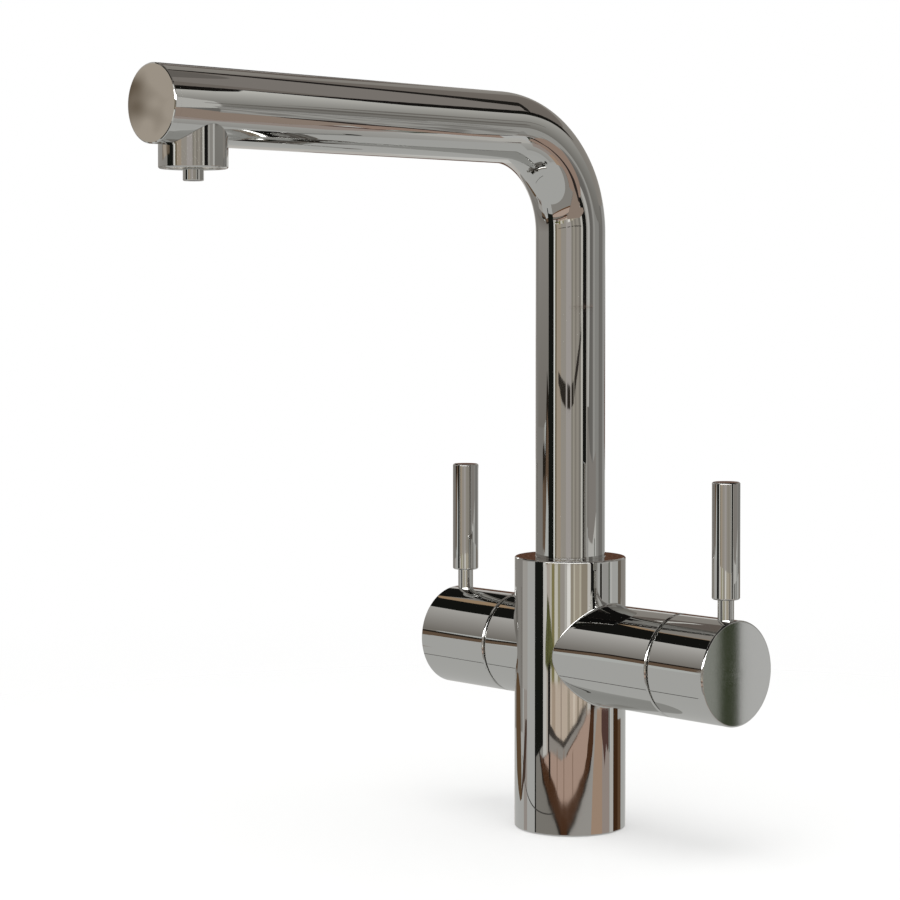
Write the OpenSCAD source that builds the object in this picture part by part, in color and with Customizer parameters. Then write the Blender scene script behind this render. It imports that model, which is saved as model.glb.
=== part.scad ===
// Three way filtered water tap: mixed hot and cold water from the ring of the outlet,
// and filtered water from the small nozzle in its middle.
// Millimetres. Origin: centre of the base face on the worktop. +Z up, spout towards -Y,
// filter lever on the +X barrel, hot and cold lever on the -X barrel.

/* [Body] */
// Step from the barrels' surface to the upright body's surface
body_step = 2.5; // [1:0.25:6]
// Height of the barrels' axis over the worktop
barrel_z = 79.25; // [64:0.25:110]
// Height of the body over the barrels' axis
body_top = 42.25; // [41.5:0.25:70]
// Small bevel on turned edges
edge = 0.5; // [0.2:0.1:0.8]
// Width of the open seam between a barrel and its turning cap
seam = 1; // [0.5:0.1:1.5]
// Wall of the turning caps
cap_wall = 1.8; // [1.2:0.1:4]

/* [Hot and cold side] */
// Diameter of the mixer cartridge
cartridge_d = 34.8; // [32:0.2:40]
// Length of fixed barrel that stands out of the body
mixer_barrel = 7.5; // [7.5:0.25:20]
// Length of the turning cap
mixer_cap_len = 41.5; // [38:0.5:60]
// Turn of the lever, in degrees
mixer_turn = 100; // [80:5:120]

/* [Filter side] */
// Diameter of the valve's barrel
valve_d = 19.8; // [18.8:0.2:22]
// Length of fixed barrel that stands out of the body
filter_barrel = 41.1; // [36:0.1:60]
// Length of the turning cap
filter_cap_len = 30.9; // [24:0.1:45]
// Turn of the lever, in degrees
filter_turn = 90; // [70:5:100]

/* [Levers] */
// Distance of each lever from the outer end of its cap
lever_inset = 6.4; // [4.6:0.1:8.4]
// Diameter of the lever's grip
grip_d = 12; // [9:0.5:16]
// Length of the lever's grip
grip_len = 49.6; // [30:0.1:80]
// Diameter of the thin rod between cap and grip
rod_d = 7; // [6.4:0.1:8]
// Length of rod that shows between cap and grip
rod_show = 8.45; // [3:0.05:20]
// Diameter of the rod's thread in the cap
rod_thread_d = 6; // [4:0.5:6]
// Diameter of both spindles
spindle_d = 10; // [8:0.5:12]

/* [Spout] */
// Outer diameter of the spout's tube
tube_d = 31.2; // [30:0.2:34]
// Wall of the tube
tube_wall = 1.4; // [0.8:0.1:2]
// Height of the arm's axis over the worktop
arm_z = 311.75; // [220:0.25:420]
// Radius of the bend's centre line
bend_r = 45; // [34:1:80]
// Reach from the body's axis to the end of the arm
reach = 230; // [160:1:300]
// Length of tube inside the body
tube_depth = 20; // [17:0.5:21]
// Turn of the spout to each side, in degrees
spout_turn = 75; // [30:5:90]

/* [Outlet] */
// Distance of the outlet's axis from the end of the arm
outlet_inset = 20; // [18:0.5:40]
// Drop of the outlet housing under the arm
outlet_drop = 8.85; // [8:0.05:16]
// Diameter of the aerator
aerator_d = 21.5; // [20:0.1:23]
// Wall of the outlet housing round the aerator
housing_wall = 2.85; // [2.2:0.05:3.2]
// Diameter of the filtered water nozzle
nozzle_d = 8.2; // [7:0.1:9]
// Length of nozzle that shows under the housing
nozzle_show = 4.7; // [2:0.1:12]
// Outer diameter of the filtered water hose
hose_d = 8; // [7:0.1:9]
// Wall of the filtered water hose
hose_wall = 1.3; // [0.8:0.1:1.6]

/* [Base] */
// Diameter of the circle that the inlets and the stud hole lie on
inlet_circle = 21; // [20:0.5:24]
// Diameter of the threaded inlets
inlet_d = 10; // [8:0.5:11]
// Depth of the threaded inlets
inlet_depth = 12; // [8:0.5:16]
// Diameter of the hole for the fixing stud
stud_d = 8; // [6:0.5:10]
// Depth of the hole for the fixing stud
stud_depth = 15; // [10:0.5:20]

/* [Hidden] */
$fn = 96;

// Clearances on the radius: running pieces turn, seated and threaded ones are fixed together
running = 0.05;
seated = 0.05;
thread_play = 0.1;
bore_play = 0.2;
// Cuts run this far past the surface that they open
over = 1;

// Colours
chrome_colour = [0.72, 0.73, 0.74];
brass_colour = [0.78, 0.63, 0.32];
plastic_colour = [0.92, 0.92, 0.90];
cartridge_colour = [0.75, 0.76, 0.78];
ceramic_colour = [0.96, 0.95, 0.92];
rubber_colour = [0.10, 0.10, 0.10];
steel_colour = [0.60, 0.61, 0.63];
hose_colour = [0.85, 0.88, 0.90];

// Neck behind each seam, slide ring round the neck, cap round the slide ring
nut_rim = 0.7;
neck_wall = 1.5;
collar_step = 0.5;
collar_back = 0.4;
ring_wall = 0.9;
ring_w = 4.9;
nut_d = cartridge_d + 2 * nut_rim;
neck_d = nut_d + 2 * thread_play + 2 * neck_wall;
ring_d = neck_d + 2 * seated + 2 * ring_wall;
cap_bore = ring_d + 2 * running;
barrel_d = cap_bore + 2 * cap_wall;
collar_d = neck_d + 2 * collar_step;
collar_w = seam + collar_back;

// Upright body, and how far each side reaches from its axis
body_d = barrel_d + 2 * body_step;
body_h = barrel_z + body_top;
mixer_stub = body_d / 2 + mixer_barrel;
mixer_end = mixer_stub + seam + mixer_cap_len;
filter_stub = body_d / 2 + filter_barrel;
filter_end = filter_stub + seam + filter_cap_len;

// Thick end of a cap, measured back from its outer face
cap_floor = 13;
spindle_back = 6;
spindle_bore_back = 5.7;
cap_screw_back = 9.4;
cap_screw_d = 4;
cap_screw_len = 6;
cap_socket_d = 2.3;
cap_socket_len = 2;
rod_seat = 2;
rod_root = 9.5;
rod_play = 0.5;
rod_in_grip = 19;

// Mixer cartridge, measured outwards from its seat
mixer_seat_depth = 8.5;
mixer_seat = mixer_stub - mixer_seat_depth;
port_d = 5;
port_rim = 0.8;
disc_rim = 3.6;
disc_d = cartridge_d - 2 * disc_rim;
port_circle = disc_d / 2 - port_rim - port_d / 2;
side_port = port_circle * [cos(30), sin(30)];
out_port = port_circle * [0, -1];
port_seal_d = 8.3;
port_seal_wall = 1.35;
port_seal_t = 1;
base_t = 4;
disc_t = 3;
disc_gap = 0.05;
disc_play = 0.3;
flange_play = 0.8;
flange_t = 2.5;
shell_play = 0.4;
roof_gap = 0.25;
shell_bore = disc_d + 2 * shell_play;
shell_roof = base_t + 2 * disc_t + disc_gap + flange_t + roof_gap;
shoulder = 16;
shoulder_w = 6.1;
shell_neck_d = cartridge_d - 2 * shoulder_w;
shell_len = 26;
nut_len = 6;
nut_play = 0.3;
nut_slot = 4;
neck_len = shoulder + nut_len - mixer_seat_depth;
lug_d = 3;
lug_len = 1.2;
recess_t = 1.2;
mixer_lug_in = 4.8;
mixer_lug_r = disc_d / 2 - mixer_lug_in;
recess_rim = 1.5;
mixer_recess = [port_circle - port_d / 2, disc_d / 2 - disc_play - recess_rim];
recess_spare = 20;

// Filter valve, measured outwards from its seat
valve_wall = 1.7;
valve_bore = valve_d - 2 * valve_wall;
valve_seal_t = 1.55;
valve_seal_len = 3;
valve_port_d = 7;
valve_thread_at = 20;
valve_thread_step = 2.5;
valve_thread_d = valve_d + 2 * valve_thread_step;
valve_head_at = 26;
valve_head_t = 6;
valve_head_step = 3.1;
valve_head_d = valve_thread_d + 2 * valve_head_step;
valve_neck_wall = 3;
valve_neck_d = spindle_d + 2 * valve_neck_wall;
valve_neck_len = 10;
valve_disc_play = 0.2;
valve_flange_play = 0.4;
valve_port_r = 4;
valve_lug_in = 3;
valve_lug_r = valve_bore / 2 - valve_lug_in;
valve_recess = [valve_port_r - port_d / 2, valve_port_r + port_d / 2];
gallery_at = 11;
gallery_w = 6;
gallery_step = 5.6;
gallery_rim = 0.5;
gallery_d = valve_d + 2 * gallery_step;
window_w = 8;
window_len = 5;
valve_head_play = 1;
filter_bore_d = valve_head_d + 2 * valve_head_play;
filter_seat_out = 1;
filter_seat = body_d / 2 + filter_seat_out;
filter_neck_len = 10;

// Seal and clip on each spindle
seal_r = 0.85;
seal_groove_w = 2.2;
mixer_seal_in = 3;
valve_seal_back = 6;
clip_t = 1;
clip_rim = 2;
clip_d = spindle_d + 2 * clip_rim;
clip_depth = 0.8;

// Spout's foot in the body: the tube ends on a flange, and the spigot turns in the bore below
ledge_step = 2.55;
spigot_d = tube_d - 2 * ledge_step;
spout_bore_d = spigot_d + 2 * running;
tube_bore_d = tube_d + 2 * bore_play;
foot_flange = 3;
washer_t = 1.4;
washer_play = 0.15;
foot_z = body_h - tube_depth;
ledge_z = foot_z - foot_flange - washer_t - 2 * seated;
foot_groove = 1.8;
foot_groove_w = 2.4;
foot_wall = 2.25;
foot_bore_d = spigot_d - 2 * foot_groove - 2 * foot_wall;
foot_plug_len = 12;
foot_seal_r = 0.83;
first_seal = 3.3;
seal_step = 4.6;
port_head = 2.25;
port_sump = 8.25;
spigot_z = barrel_z + out_port[1] + port_d / 2 + port_head;
chamber_z = barrel_z + out_port[1] - port_d / 2 - port_sump;
slide_top = 3.5;
slide_len = 6;
slide_wall = 1.65;
slide_d = tube_d + 2 * running + 2 * slide_wall;

// Retaining screw at the back of the body, with its point in the foot's arc groove
screw_drop = 5;
screw_z = ledge_z - screw_drop;
screw_d = 5;
screw_point_d = 3.6;
screw_reach = 1.4;
screw_sunk = 2;
screw_socket_d = 2.9;
screw_socket_len = 3;
screw_point_r = spigot_d / 2 - screw_reach;
screw_shank_r = spout_bore_d / 2 + screw_reach;
screw_outer_r = body_d / 2 - screw_sunk;
stop_r = spigot_d / 2 - foot_groove;
stop_play = 0.3;
stop_w = screw_point_d + 2 * stop_play;
stop_spare = 0.6;
stop_half = spout_turn + asin(screw_point_d / 2 / stop_r) + stop_spare;

// Waterways in the body
way_d = 6;
cross_d = 5.4;
way_in = 6.5;
way_r = body_d / 2 - way_in;
way_y = side_port[0];
outlet_way_y = 8;
cross_drop = 14;
filter_cross_drop = 10;
cross_z = chamber_z - cross_drop;
filter_cross_z = chamber_z - filter_cross_drop;
gallery_port = [outlet_way_y, gallery_rim - gallery_d / 2 + port_d / 2];

// Barb for the filtered water hose
barb_hole_d = 8;
barb_hole_under = 2;
barb_hole_z = filter_cross_z - barb_hole_under;
barb_rim = 2;
barb_flange_d = hose_d + 2 * barb_rim;
barb_flange_t = 3;
barb_len = 11;
barb_wall = 0.85;
hose_bore = hose_d - 2 * hose_wall;
barb_d = hose_bore - 2 * running;
barb_bore = barb_d - 2 * barb_wall;
hose_gap = 0.3;

// Inlet block, screwed into the foot of the body
inlet_r = inlet_circle / 2;
hot_angle = 225;
cold_angle = 135;
filter_angle = 315;
stud_angle = 45;
block_wall = 5;
block_floor = 6;
block_d = body_d - 2 * block_wall;
block_h = max(inlet_depth, stud_depth) + block_floor;
block_seal_d = 9.6;
block_seal_wall = 1.5;
block_seal_t = 1.2;
block_screw_d = 4;
block_screw_bite = 8;
block_screw_in = 4.5;
block_screw_r = block_d / 2 - block_screw_in;
block_head_d = 7.4;
block_head_up = 0.3;
block_socket_d = 2.9;
block_socket_len = 2;

// Seal groove in the base face
base_groove_in = 2.3;
base_groove_w = 2.4;
base_groove_t = 1.8;
base_groove_d = body_d - 2 * base_groove_in;

// Arm and outlet
tube_in_d = tube_d - 2 * tube_wall;
end_cap_t = 3;
end_plug_len = 4;
end_plug_wall = 2.5;
outlet_y = outlet_inset - reach;
arm_under = arm_z - tube_d / 2;
outlet_z = arm_under - outlet_drop;
aerator_bore = aerator_d + 2 * seated;
outlet_d = aerator_bore + 2 * housing_wall;
neck_step = 1.65;
outlet_neck_wall = 2.5;
outlet_neck_d = outlet_d - 2 * neck_step;
outlet_neck_bore = outlet_neck_d - 2 * outlet_neck_wall;
outlet_neck_in = 3;
spider_up = 0.35;
spider_t = 3.5;
spider_z = arm_under + spider_up;
hub_wall = 1.85;
hub_d = nozzle_d + 2 * seated + 2 * hub_wall;
spoke_w = 2.5;

// Aerator
aerator_up = 0.7;
washer_h = 1.45;
washer_w = 2.4;
carrier_ring = 1.55;
carrier_play = 0.15;
carrier_hub_wall = 1.55;
carrier_hub_len = 4;
carrier_hub_d = nozzle_d + 2 * carrier_play + 2 * carrier_hub_wall;
carrier_len = spider_z - washer_h - outlet_z - aerator_up - 2 * seated;
ribs = 8;
rib_w = 1.2;
rib_h = 2;
rib_root = 0.4;
screen_t = 0.6;
screen_hole_d = 1.2;
screen_rows = 2;
screen_holes = 16;
screen_in_d = carrier_hub_d + 2 * seated;
screen_out_d = aerator_d - 2 * carrier_ring - 2 * seated;
screen_step = (screen_out_d - screen_in_d) / 2 / screen_rows;

// Nozzle: a stem through the aerator and an elbow with a barb for the hose
nozzle_wall = 1.6;
nozzle_edge = 0.3;
nozzle_z = outlet_z - nozzle_show;
nozzle_bore = nozzle_d - 2 * nozzle_wall;
nozzle_head_up = 5.75;
nozzle_head_top = arm_z + nozzle_head_up;
nozzle_boss = 0.5;
nozzle_boss_d = hose_d + 2 * nozzle_boss;
hose_end = -outlet_y - hub_d / 2 - nozzle_boss;

// A turned piece about Z, from its half outline
module turned(outline) rotate_extrude() polygon(outline);

// The same about the barrel's axis, outwards along +X
module turned_x(outline) translate([0, 0, barrel_z]) rotate([0, 90, 0]) turned(outline);

// A round bar along +X on the barrel's axis, moved by [y, z]
module bar_x(d, from, to, off = [0, 0])
  translate([from, off[0], barrel_z + off[1]]) rotate([0, 90, 0]) cylinder(d = d, h = to - from);

// A cylinder with bevelled edges
module bevelled(d, h, bottom = edge, top = edge)
  turned([[0, 0], [d / 2 - bottom, 0], [d / 2, bottom], [d / 2, h - top], [d / 2 - top, h], [0, h]]);

// A 90 degree countersink about Z, wide end down
module countersunk(wide_r, narrow_r)
  turned([[0, 0], [wide_r, 0], [narrow_r, wide_r - narrow_r], [0, wide_r - narrow_r]]);

// A flat ring about Z
module ring(outer, inner, h) difference() {
  cylinder(d = outer, h = h);
  translate([0, 0, -over]) cylinder(d = inner, h = h + 2 * over);
}

// A round rubber ring about Z
module o_ring(mid_r, r = seal_r) rotate_extrude() translate([mid_r, 0]) circle(r, $fn = 32);

// The -X side is built along +X and mirrored
module mixer_side() mirror([1, 0, 0]) children();

// A place on the circle of the inlets
module on_circle(angle) rotate([0, 0, angle]) translate([inlet_r, 0, 0]) children();

// The three inlets' places, and the two screws' places
module on_inlets() for (angle = [hot_angle, cold_angle, filter_angle]) on_circle(angle) children();
module on_block_screws() for (side = [-1, 1]) translate([0, side * block_screw_r, 0]) children();

// A level waterway between two places
module cross_way(a, b, z)
  translate([a[0], a[1], z]) rotate([0, 0, atan2(b[1] - a[1], b[0] - a[0])])
    rotate([0, 90, 0]) cylinder(d = cross_d, h = norm(b - a));

function circle_place(angle) = inlet_r * [cos(angle), sin(angle)];

// The path of the spout: upright, bend and arm
module spout_path(d, from_z, to_y) {
  translate([0, 0, from_z]) cylinder(d = d, h = arm_z - bend_r - from_z);
  translate([0, -bend_r, arm_z - bend_r]) rotate([90, 0, 90]) rotate_extrude(angle = 90)
    translate([bend_r, 0]) circle(d = d);
  translate([0, -bend_r, arm_z]) rotate([90, 0, 0]) cylinder(d = d, h = to_y - bend_r);
}

// Barrel with its bevelled end, the neck behind the seam, and the neck's collar
module barrel(stub, neck) {
  turned_x([[0, 0], [barrel_d / 2, 0], [barrel_d / 2, stub - edge], [barrel_d / 2 - edge, stub],
            [0, stub]]);
  bar_x(neck_d, stub - over, stub + neck);
  bar_x(collar_d, stub - over, stub + collar_w);
}

// Seat of the mixer cartridge with its three ports
module mixer_seat_cut() {
  bar_x(cartridge_d + 2 * bore_play, mixer_seat, mixer_seat + shoulder + over);
  bar_x(nut_d + 2 * thread_play, mixer_seat + shoulder, mixer_stub + neck_len + over);
  bar_x(port_d, 0, mixer_seat + over, out_port);
  for (s = [-1, 1]) {
    bar_x(port_d, way_r, mixer_seat + over, [s * side_port[0], side_port[1]]);
    translate([way_r, s * way_y, cross_z - way_d / 2])
      cylinder(d = way_d, h = barrel_z + side_port[1] - cross_z + way_d);
  }
}

// Seat of the filter valve: nose, gallery round the windows, thread and open bore
module filter_seat_cut() {
  bar_x(valve_d + 2 * bore_play, filter_seat, filter_seat + valve_thread_at + over);
  bar_x(gallery_d, filter_seat + gallery_at, filter_seat + gallery_at + gallery_w);
  bar_x(valve_thread_d + 2 * thread_play, filter_seat + valve_thread_at,
        filter_seat + valve_head_at + over);
  bar_x(filter_bore_d, filter_seat + valve_head_at, filter_stub + filter_neck_len + over);
  bar_x(valve_port_d, way_r, filter_seat + over);
  bar_x(port_d, way_r, filter_seat + gallery_at + over, gallery_port);
}

module body() color(chrome_colour) difference() {
  union() {
    bevelled(body_d, body_h);
    barrel(filter_stub, filter_neck_len);
    mixer_side() barrel(mixer_stub, neck_len);
  }
  // Bores of the spout
  translate([0, 0, chamber_z]) cylinder(d = spout_bore_d, h = body_h);
  translate([0, 0, ledge_z]) cylinder(d = tube_bore_d, h = body_h);
  translate([0, 0, body_h - slide_top - slide_len]) cylinder(d = slide_d + 2 * seated, h = slide_len);
  translate([0, 0, screw_z]) rotate([-90, 0, 0]) cylinder(d = screw_d + 2 * seated, h = body_d);
  // Seats and upright waterways
  mixer_side() mixer_seat_cut();
  filter_seat_cut();
  translate([way_r, 0, cross_z - way_d / 2]) cylinder(d = way_d, h = barrel_z - cross_z + way_d / 2);
  translate([way_r, outlet_way_y, filter_cross_z - way_d / 2])
    cylinder(d = way_d, h = barrel_z + gallery_port[1] - filter_cross_z + way_d);
  translate([0, 0, barb_hole_z]) cylinder(d = barb_hole_d, h = chamber_z - barb_hole_z + over);
  // Level waterways
  cross_way(circle_place(hot_angle), [-way_r, -way_y], cross_z);
  cross_way(circle_place(cold_angle), [-way_r, way_y], cross_z);
  cross_way(circle_place(filter_angle), [way_r, 0], cross_z);
  cross_way([0, 0], [way_r, outlet_way_y], filter_cross_z);
  // Foot: socket and tapped holes for the inlet block, ways up from it, and the seal groove
  translate([0, 0, -over]) cylinder(d = block_d + 2 * seated, h = block_h + over);
  on_block_screws() cylinder(d = block_screw_d + 2 * seated, h = block_h + block_screw_bite + over);
  on_inlets() cylinder(d = way_d, h = cross_z + way_d / 2);
  translate([0, 0, -over]) ring(base_groove_d + base_groove_w, base_groove_d - base_groove_w,
                                base_groove_t + over);
}

// Block with the threaded inlets, the stud hole, and recesses for its seals
module inlet_block() color(brass_colour) difference() {
  cylinder(d = block_d, h = block_h);
  on_inlets() {
    translate([0, 0, -over]) cylinder(d = inlet_d, h = inlet_depth + over);
    cylinder(d = way_d, h = block_h + over);
    translate([0, 0, block_h - block_seal_t - seated])
      cylinder(d = block_seal_d + 2 * seated, h = block_seal_t + over);
  }
  on_circle(stud_angle) translate([0, 0, -over]) cylinder(d = stud_d, h = stud_depth + over);
  on_block_screws() {
    cylinder(d = block_screw_d + 2 * bore_play, h = block_h + over);
    translate([0, 0, block_head_up]) countersunk(block_head_d / 2 + seated, block_screw_d / 2);
    translate([0, 0, -over]) cylinder(d = block_head_d + 2 * seated, h = block_head_up + over);
  }
}

module inlet_seals() color(rubber_colour) on_inlets() translate([0, 0, block_h - block_seal_t])
  ring(block_seal_d, block_seal_d - 2 * block_seal_wall, block_seal_t);

// Two countersunk screws with hexagon sockets
module inlet_block_screws() color(steel_colour) on_block_screws() difference() {
  union() {
    translate([0, 0, block_head_up]) countersunk(block_head_d / 2, block_screw_d / 2);
    translate([0, 0, block_head_up + block_head_d / 2 - block_screw_d / 2])
      cylinder(d = block_screw_d, h = block_h + block_screw_bite - block_head_up - block_head_d / 2
                                      + block_screw_d / 2);
  }
  cylinder(d = block_socket_d, h = block_head_up + block_socket_len, $fn = 6);
}

module base_seal() color(rubber_colour)
  ring(base_groove_d + base_groove_w - 2 * seated, base_groove_d - base_groove_w + 2 * seated,
       base_groove_t - seated);

// Dog point screw with a hexagon socket
module retaining_screw() color(steel_colour) translate([0, 0, screw_z]) rotate([-90, 0, 0])
  difference() {
    union() {
      translate([0, 0, screw_shank_r]) cylinder(d = screw_d, h = screw_outer_r - screw_shank_r);
      translate([0, 0, screw_point_r])
        cylinder(d = screw_point_d, h = screw_shank_r - screw_point_r + over);
    }
    translate([0, 0, screw_outer_r - screw_socket_len])
      cylinder(d = screw_socket_d, h = screw_socket_len + over, $fn = 6);
  }

module upper_slide_ring() color(plastic_colour)
  translate([0, 0, body_h - slide_top - slide_len + seated])
    ring(slide_d, tube_d + 2 * running, slide_len - 2 * seated);

module lower_slide_ring() color(plastic_colour) translate([0, 0, ledge_z + seated])
  ring(tube_d, spout_bore_d + 2 * washer_play, washer_t);

module hose_barb() color(brass_colour) difference() {
  union() {
    translate([0, 0, filter_cross_z + cross_d / 2])
      cylinder(d = barb_hole_d - 2 * seated, h = chamber_z - filter_cross_z);
    translate([0, 0, chamber_z]) cylinder(d = barb_flange_d, h = barb_flange_t);
    translate([0, 0, chamber_z])
      bevelled(barb_d, barb_flange_t + barb_len, 0, edge);
  }
  translate([0, 0, barb_hole_z]) cylinder(d = barb_bore, h = body_h);
}

// Three ports through a disc that lies on the cartridge's axis
module ports(d, from, to) {
  bar_x(d, from, to, out_port);
  for (s = [-1, 1]) bar_x(d, from, to, [s * side_port[0], side_port[1]]);
}

module mixer_cartridge_base() color(cartridge_colour) mixer_side() difference() {
  bar_x(cartridge_d, mixer_seat, mixer_seat + base_t);
  ports(port_d, mixer_seat - over, mixer_seat + base_t + over);
  ports(port_seal_d + 2 * seated, mixer_seat - over, mixer_seat + port_seal_t + seated);
}

module mixer_port_seals() color(rubber_colour) mixer_side() difference() {
  ports(port_seal_d, mixer_seat, mixer_seat + port_seal_t);
  ports(port_seal_d - 2 * port_seal_wall, mixer_seat - over, mixer_seat + port_seal_t + over);
}

module mixer_fixed_disc() color(ceramic_colour) mixer_side() difference() {
  bar_x(disc_d, mixer_seat + base_t, mixer_seat + base_t + disc_t);
  ports(port_d, mixer_seat + base_t - over, mixer_seat + base_t + disc_t + over);
}

module mixer_cartridge_shell() color(cartridge_colour) mixer_side() translate([mixer_seat, 0, 0])
  turned_x([[shell_bore / 2, base_t], [cartridge_d / 2, base_t], [cartridge_d / 2, shoulder],
            [shell_neck_d / 2, shoulder], [shell_neck_d / 2, shell_len],
            [spindle_d / 2 + running, shell_len], [spindle_d / 2 + running, shell_roof],
            [shell_bore / 2, shell_roof]]);

// Threaded ring that holds the cartridge down, with four spanner slots
module mixer_cartridge_nut() color(brass_colour) mixer_side() difference() {
  bar_x(nut_d, mixer_seat + shoulder, mixer_seat + shoulder + nut_len);
  bar_x(shell_neck_d + 2 * nut_play, mixer_seat, mixer_end);
  for (a = [0, 90]) translate([mixer_seat + shoulder + nut_len, 0, barrel_z]) rotate([a, 0, 0])
    cube([nut_slot, nut_d + over, nut_slot], center = true);
}

module slide_ring(stub) difference() {
  bar_x(ring_d, stub + collar_w + seated, stub + collar_w + seated + ring_w);
  bar_x(neck_d + 2 * seated, stub, stub + neck_len);
}

module mixer_slide_ring() color(plastic_colour) mixer_side() slide_ring(mixer_stub);
module filter_slide_ring() color(plastic_colour) slide_ring(filter_stub);

// Turning disc with the arc recess that joins the ports, and two holes for the spindle's lugs
module turning_disc(d, seat, recess, lugs_r, span) difference() {
  bar_x(d, seat, seat + disc_t);
  translate([seat - over, 0, barrel_z]) rotate([0, 90, 0]) rotate([0, 0, -span / 2])
    rotate_extrude(angle = span) translate([recess[0], 0])
      square([recess[1] - recess[0], over + recess_t]);
  for (s = [-1, 1])
    bar_x(lug_d + 2 * seated, seat + disc_t - lug_len - seated, seat + disc_t + over, [s * lugs_r, 0]);
}

module mixer_turning_disc() color(ceramic_colour) mixer_side()
  turning_disc(disc_d - 2 * disc_play, mixer_seat + base_t + disc_t + disc_gap, mixer_recess,
               mixer_lug_r, mixer_turn + recess_spare);

// Spindle: flange with two lugs, shaft with seal groove and clip groove
module spindle(flange_d, from, end, lugs_r, seal_at, clip_at) difference() {
  union() {
    bar_x(flange_d, from, from + flange_t);
    bar_x(spindle_d, from, end);
    for (s = [-1, 1]) bar_x(lug_d, from - lug_len, from + over, [s * lugs_r, 0]);
  }
  translate([seal_at - seal_groove_w / 2, 0, barrel_z]) rotate([0, 90, 0])
    ring(spindle_d + over, spindle_d - 4 * seal_r - 2 * seated, seal_groove_w);
  translate([clip_at, 0, barrel_z]) rotate([0, 90, 0])
    ring(spindle_d + over, spindle_d - 2 * clip_depth, clip_t + 2 * seated);
}

// Rubber ring and spring clip of a spindle
module spindle_seal(at) translate([at, 0, barrel_z]) rotate([0, 90, 0]) o_ring(spindle_d / 2 - seal_r);
module spindle_clip(at) translate([at + seated, 0, barrel_z]) rotate([0, 90, 0])
  ring(clip_d, spindle_d - 2 * clip_depth + 2 * seated, clip_t);

mixer_flange_at = mixer_seat + base_t + 2 * disc_t + disc_gap;
mixer_seal_at = mixer_seat + shoulder + mixer_seal_in;
mixer_clip_at = mixer_seat + shell_len;

module mixer_spindle() color(steel_colour) mixer_side()
  spindle(disc_d - 2 * flange_play, mixer_flange_at, mixer_end - spindle_back, mixer_lug_r,
          mixer_seal_at, mixer_clip_at);
module mixer_spindle_seal() color(rubber_colour) mixer_side() spindle_seal(mixer_seal_at);
module mixer_spindle_clip() color(steel_colour) mixer_side() spindle_clip(mixer_clip_at);

// Turning cap: open bore over the neck, thick end with spindle bore, rod hole and screw hole
module cap(stub, end) difference() {
  turned_x([[0, stub + seam], [barrel_d / 2 - edge, stub + seam], [barrel_d / 2, stub + seam + edge],
            [barrel_d / 2, end - edge], [barrel_d / 2 - edge, end], [0, end]]);
  bar_x(cap_bore, stub, end - cap_floor);
  bar_x(spindle_d + 2 * seated, stub, end - spindle_bore_back);
  translate([end - lever_inset, 0, barrel_z]) {
    translate([0, 0, rod_root - rod_play]) cylinder(d = rod_thread_d + 2 * seated, h = barrel_d);
    translate([0, 0, barrel_d / 2 - rod_seat]) cylinder(d = rod_d + 2 * seated, h = barrel_d);
  }
  translate([end - cap_screw_back, 0, barrel_z - barrel_d])
    cylinder(d = cap_screw_d + 2 * seated, h = barrel_d);
}

module mixer_cap() color(chrome_colour) mixer_side() cap(mixer_stub, mixer_end);
module filter_cap() color(chrome_colour) cap(filter_stub, filter_end);

// Socket screw that clamps a cap on its spindle
module cap_screw(end) translate([end - cap_screw_back, 0, barrel_z - spindle_d / 2 - seated])
  rotate([180, 0, 0]) difference() {
    cylinder(d = cap_screw_d, h = cap_screw_len);
    translate([0, 0, cap_screw_len - cap_socket_len])
      cylinder(d = cap_socket_d, h = cap_socket_len + over, $fn = 6);
  }

module mixer_cap_screw() color(steel_colour) mixer_side() cap_screw(mixer_end);
module filter_cap_screw() color(steel_colour) cap_screw(filter_end);

// Lever: a rod screwed into the cap, and a thicker grip on it
module lever_rod(end) translate([end - lever_inset, 0, barrel_z]) {
  translate([0, 0, rod_root]) cylinder(d = rod_thread_d, h = barrel_d / 2 - rod_root);
  translate([0, 0, barrel_d / 2 - rod_seat]) cylinder(d = rod_d, h = rod_seat + rod_show + rod_in_grip);
}

module lever_grip(end) translate([end - lever_inset, 0, barrel_z + barrel_d / 2 + rod_show])
  difference() {
    bevelled(grip_d, grip_len);
    translate([0, 0, -over]) cylinder(d = rod_d + 2 * seated, h = rod_in_grip + over + seated);
  }

module mixer_lever_rod() color(chrome_colour) mixer_side() lever_rod(mixer_end);
module mixer_lever_grip() color(chrome_colour) mixer_side() lever_grip(mixer_end);
module filter_lever_rod() color(chrome_colour) lever_rod(filter_end);
module filter_lever_grip() color(chrome_colour) lever_grip(filter_end);

// Quarter turn valve of the filtered water
valve_nose = filter_seat + valve_seal_t;
valve_disc_at = filter_seat + valve_seal_len;
valve_neck_end = filter_seat + valve_head_at + valve_head_t + valve_neck_len;
valve_flange_at = valve_disc_at + 2 * disc_t + disc_gap;
valve_seal_at = valve_neck_end - valve_seal_back;

module filter_valve_body() color(brass_colour) difference() {
  union() {
    bar_x(valve_d, valve_nose, filter_seat + valve_thread_at + over);
    bar_x(valve_thread_d, filter_seat + valve_thread_at, filter_seat + valve_head_at);
    translate([filter_seat + valve_head_at, 0, barrel_z]) rotate([0, 90, 0])
      cylinder(d = valve_head_d, h = valve_head_t, $fn = 6);
    bar_x(valve_neck_d, filter_seat + valve_head_at, valve_neck_end);
  }
  bar_x(valve_bore, filter_seat, filter_seat + valve_thread_at);
  bar_x(spindle_d + 2 * running, filter_seat, filter_end);
  translate([filter_seat + gallery_at + gallery_w / 2, 0, barrel_z])
    cube([window_len, window_w, barrel_d], center = true);
}

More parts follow.
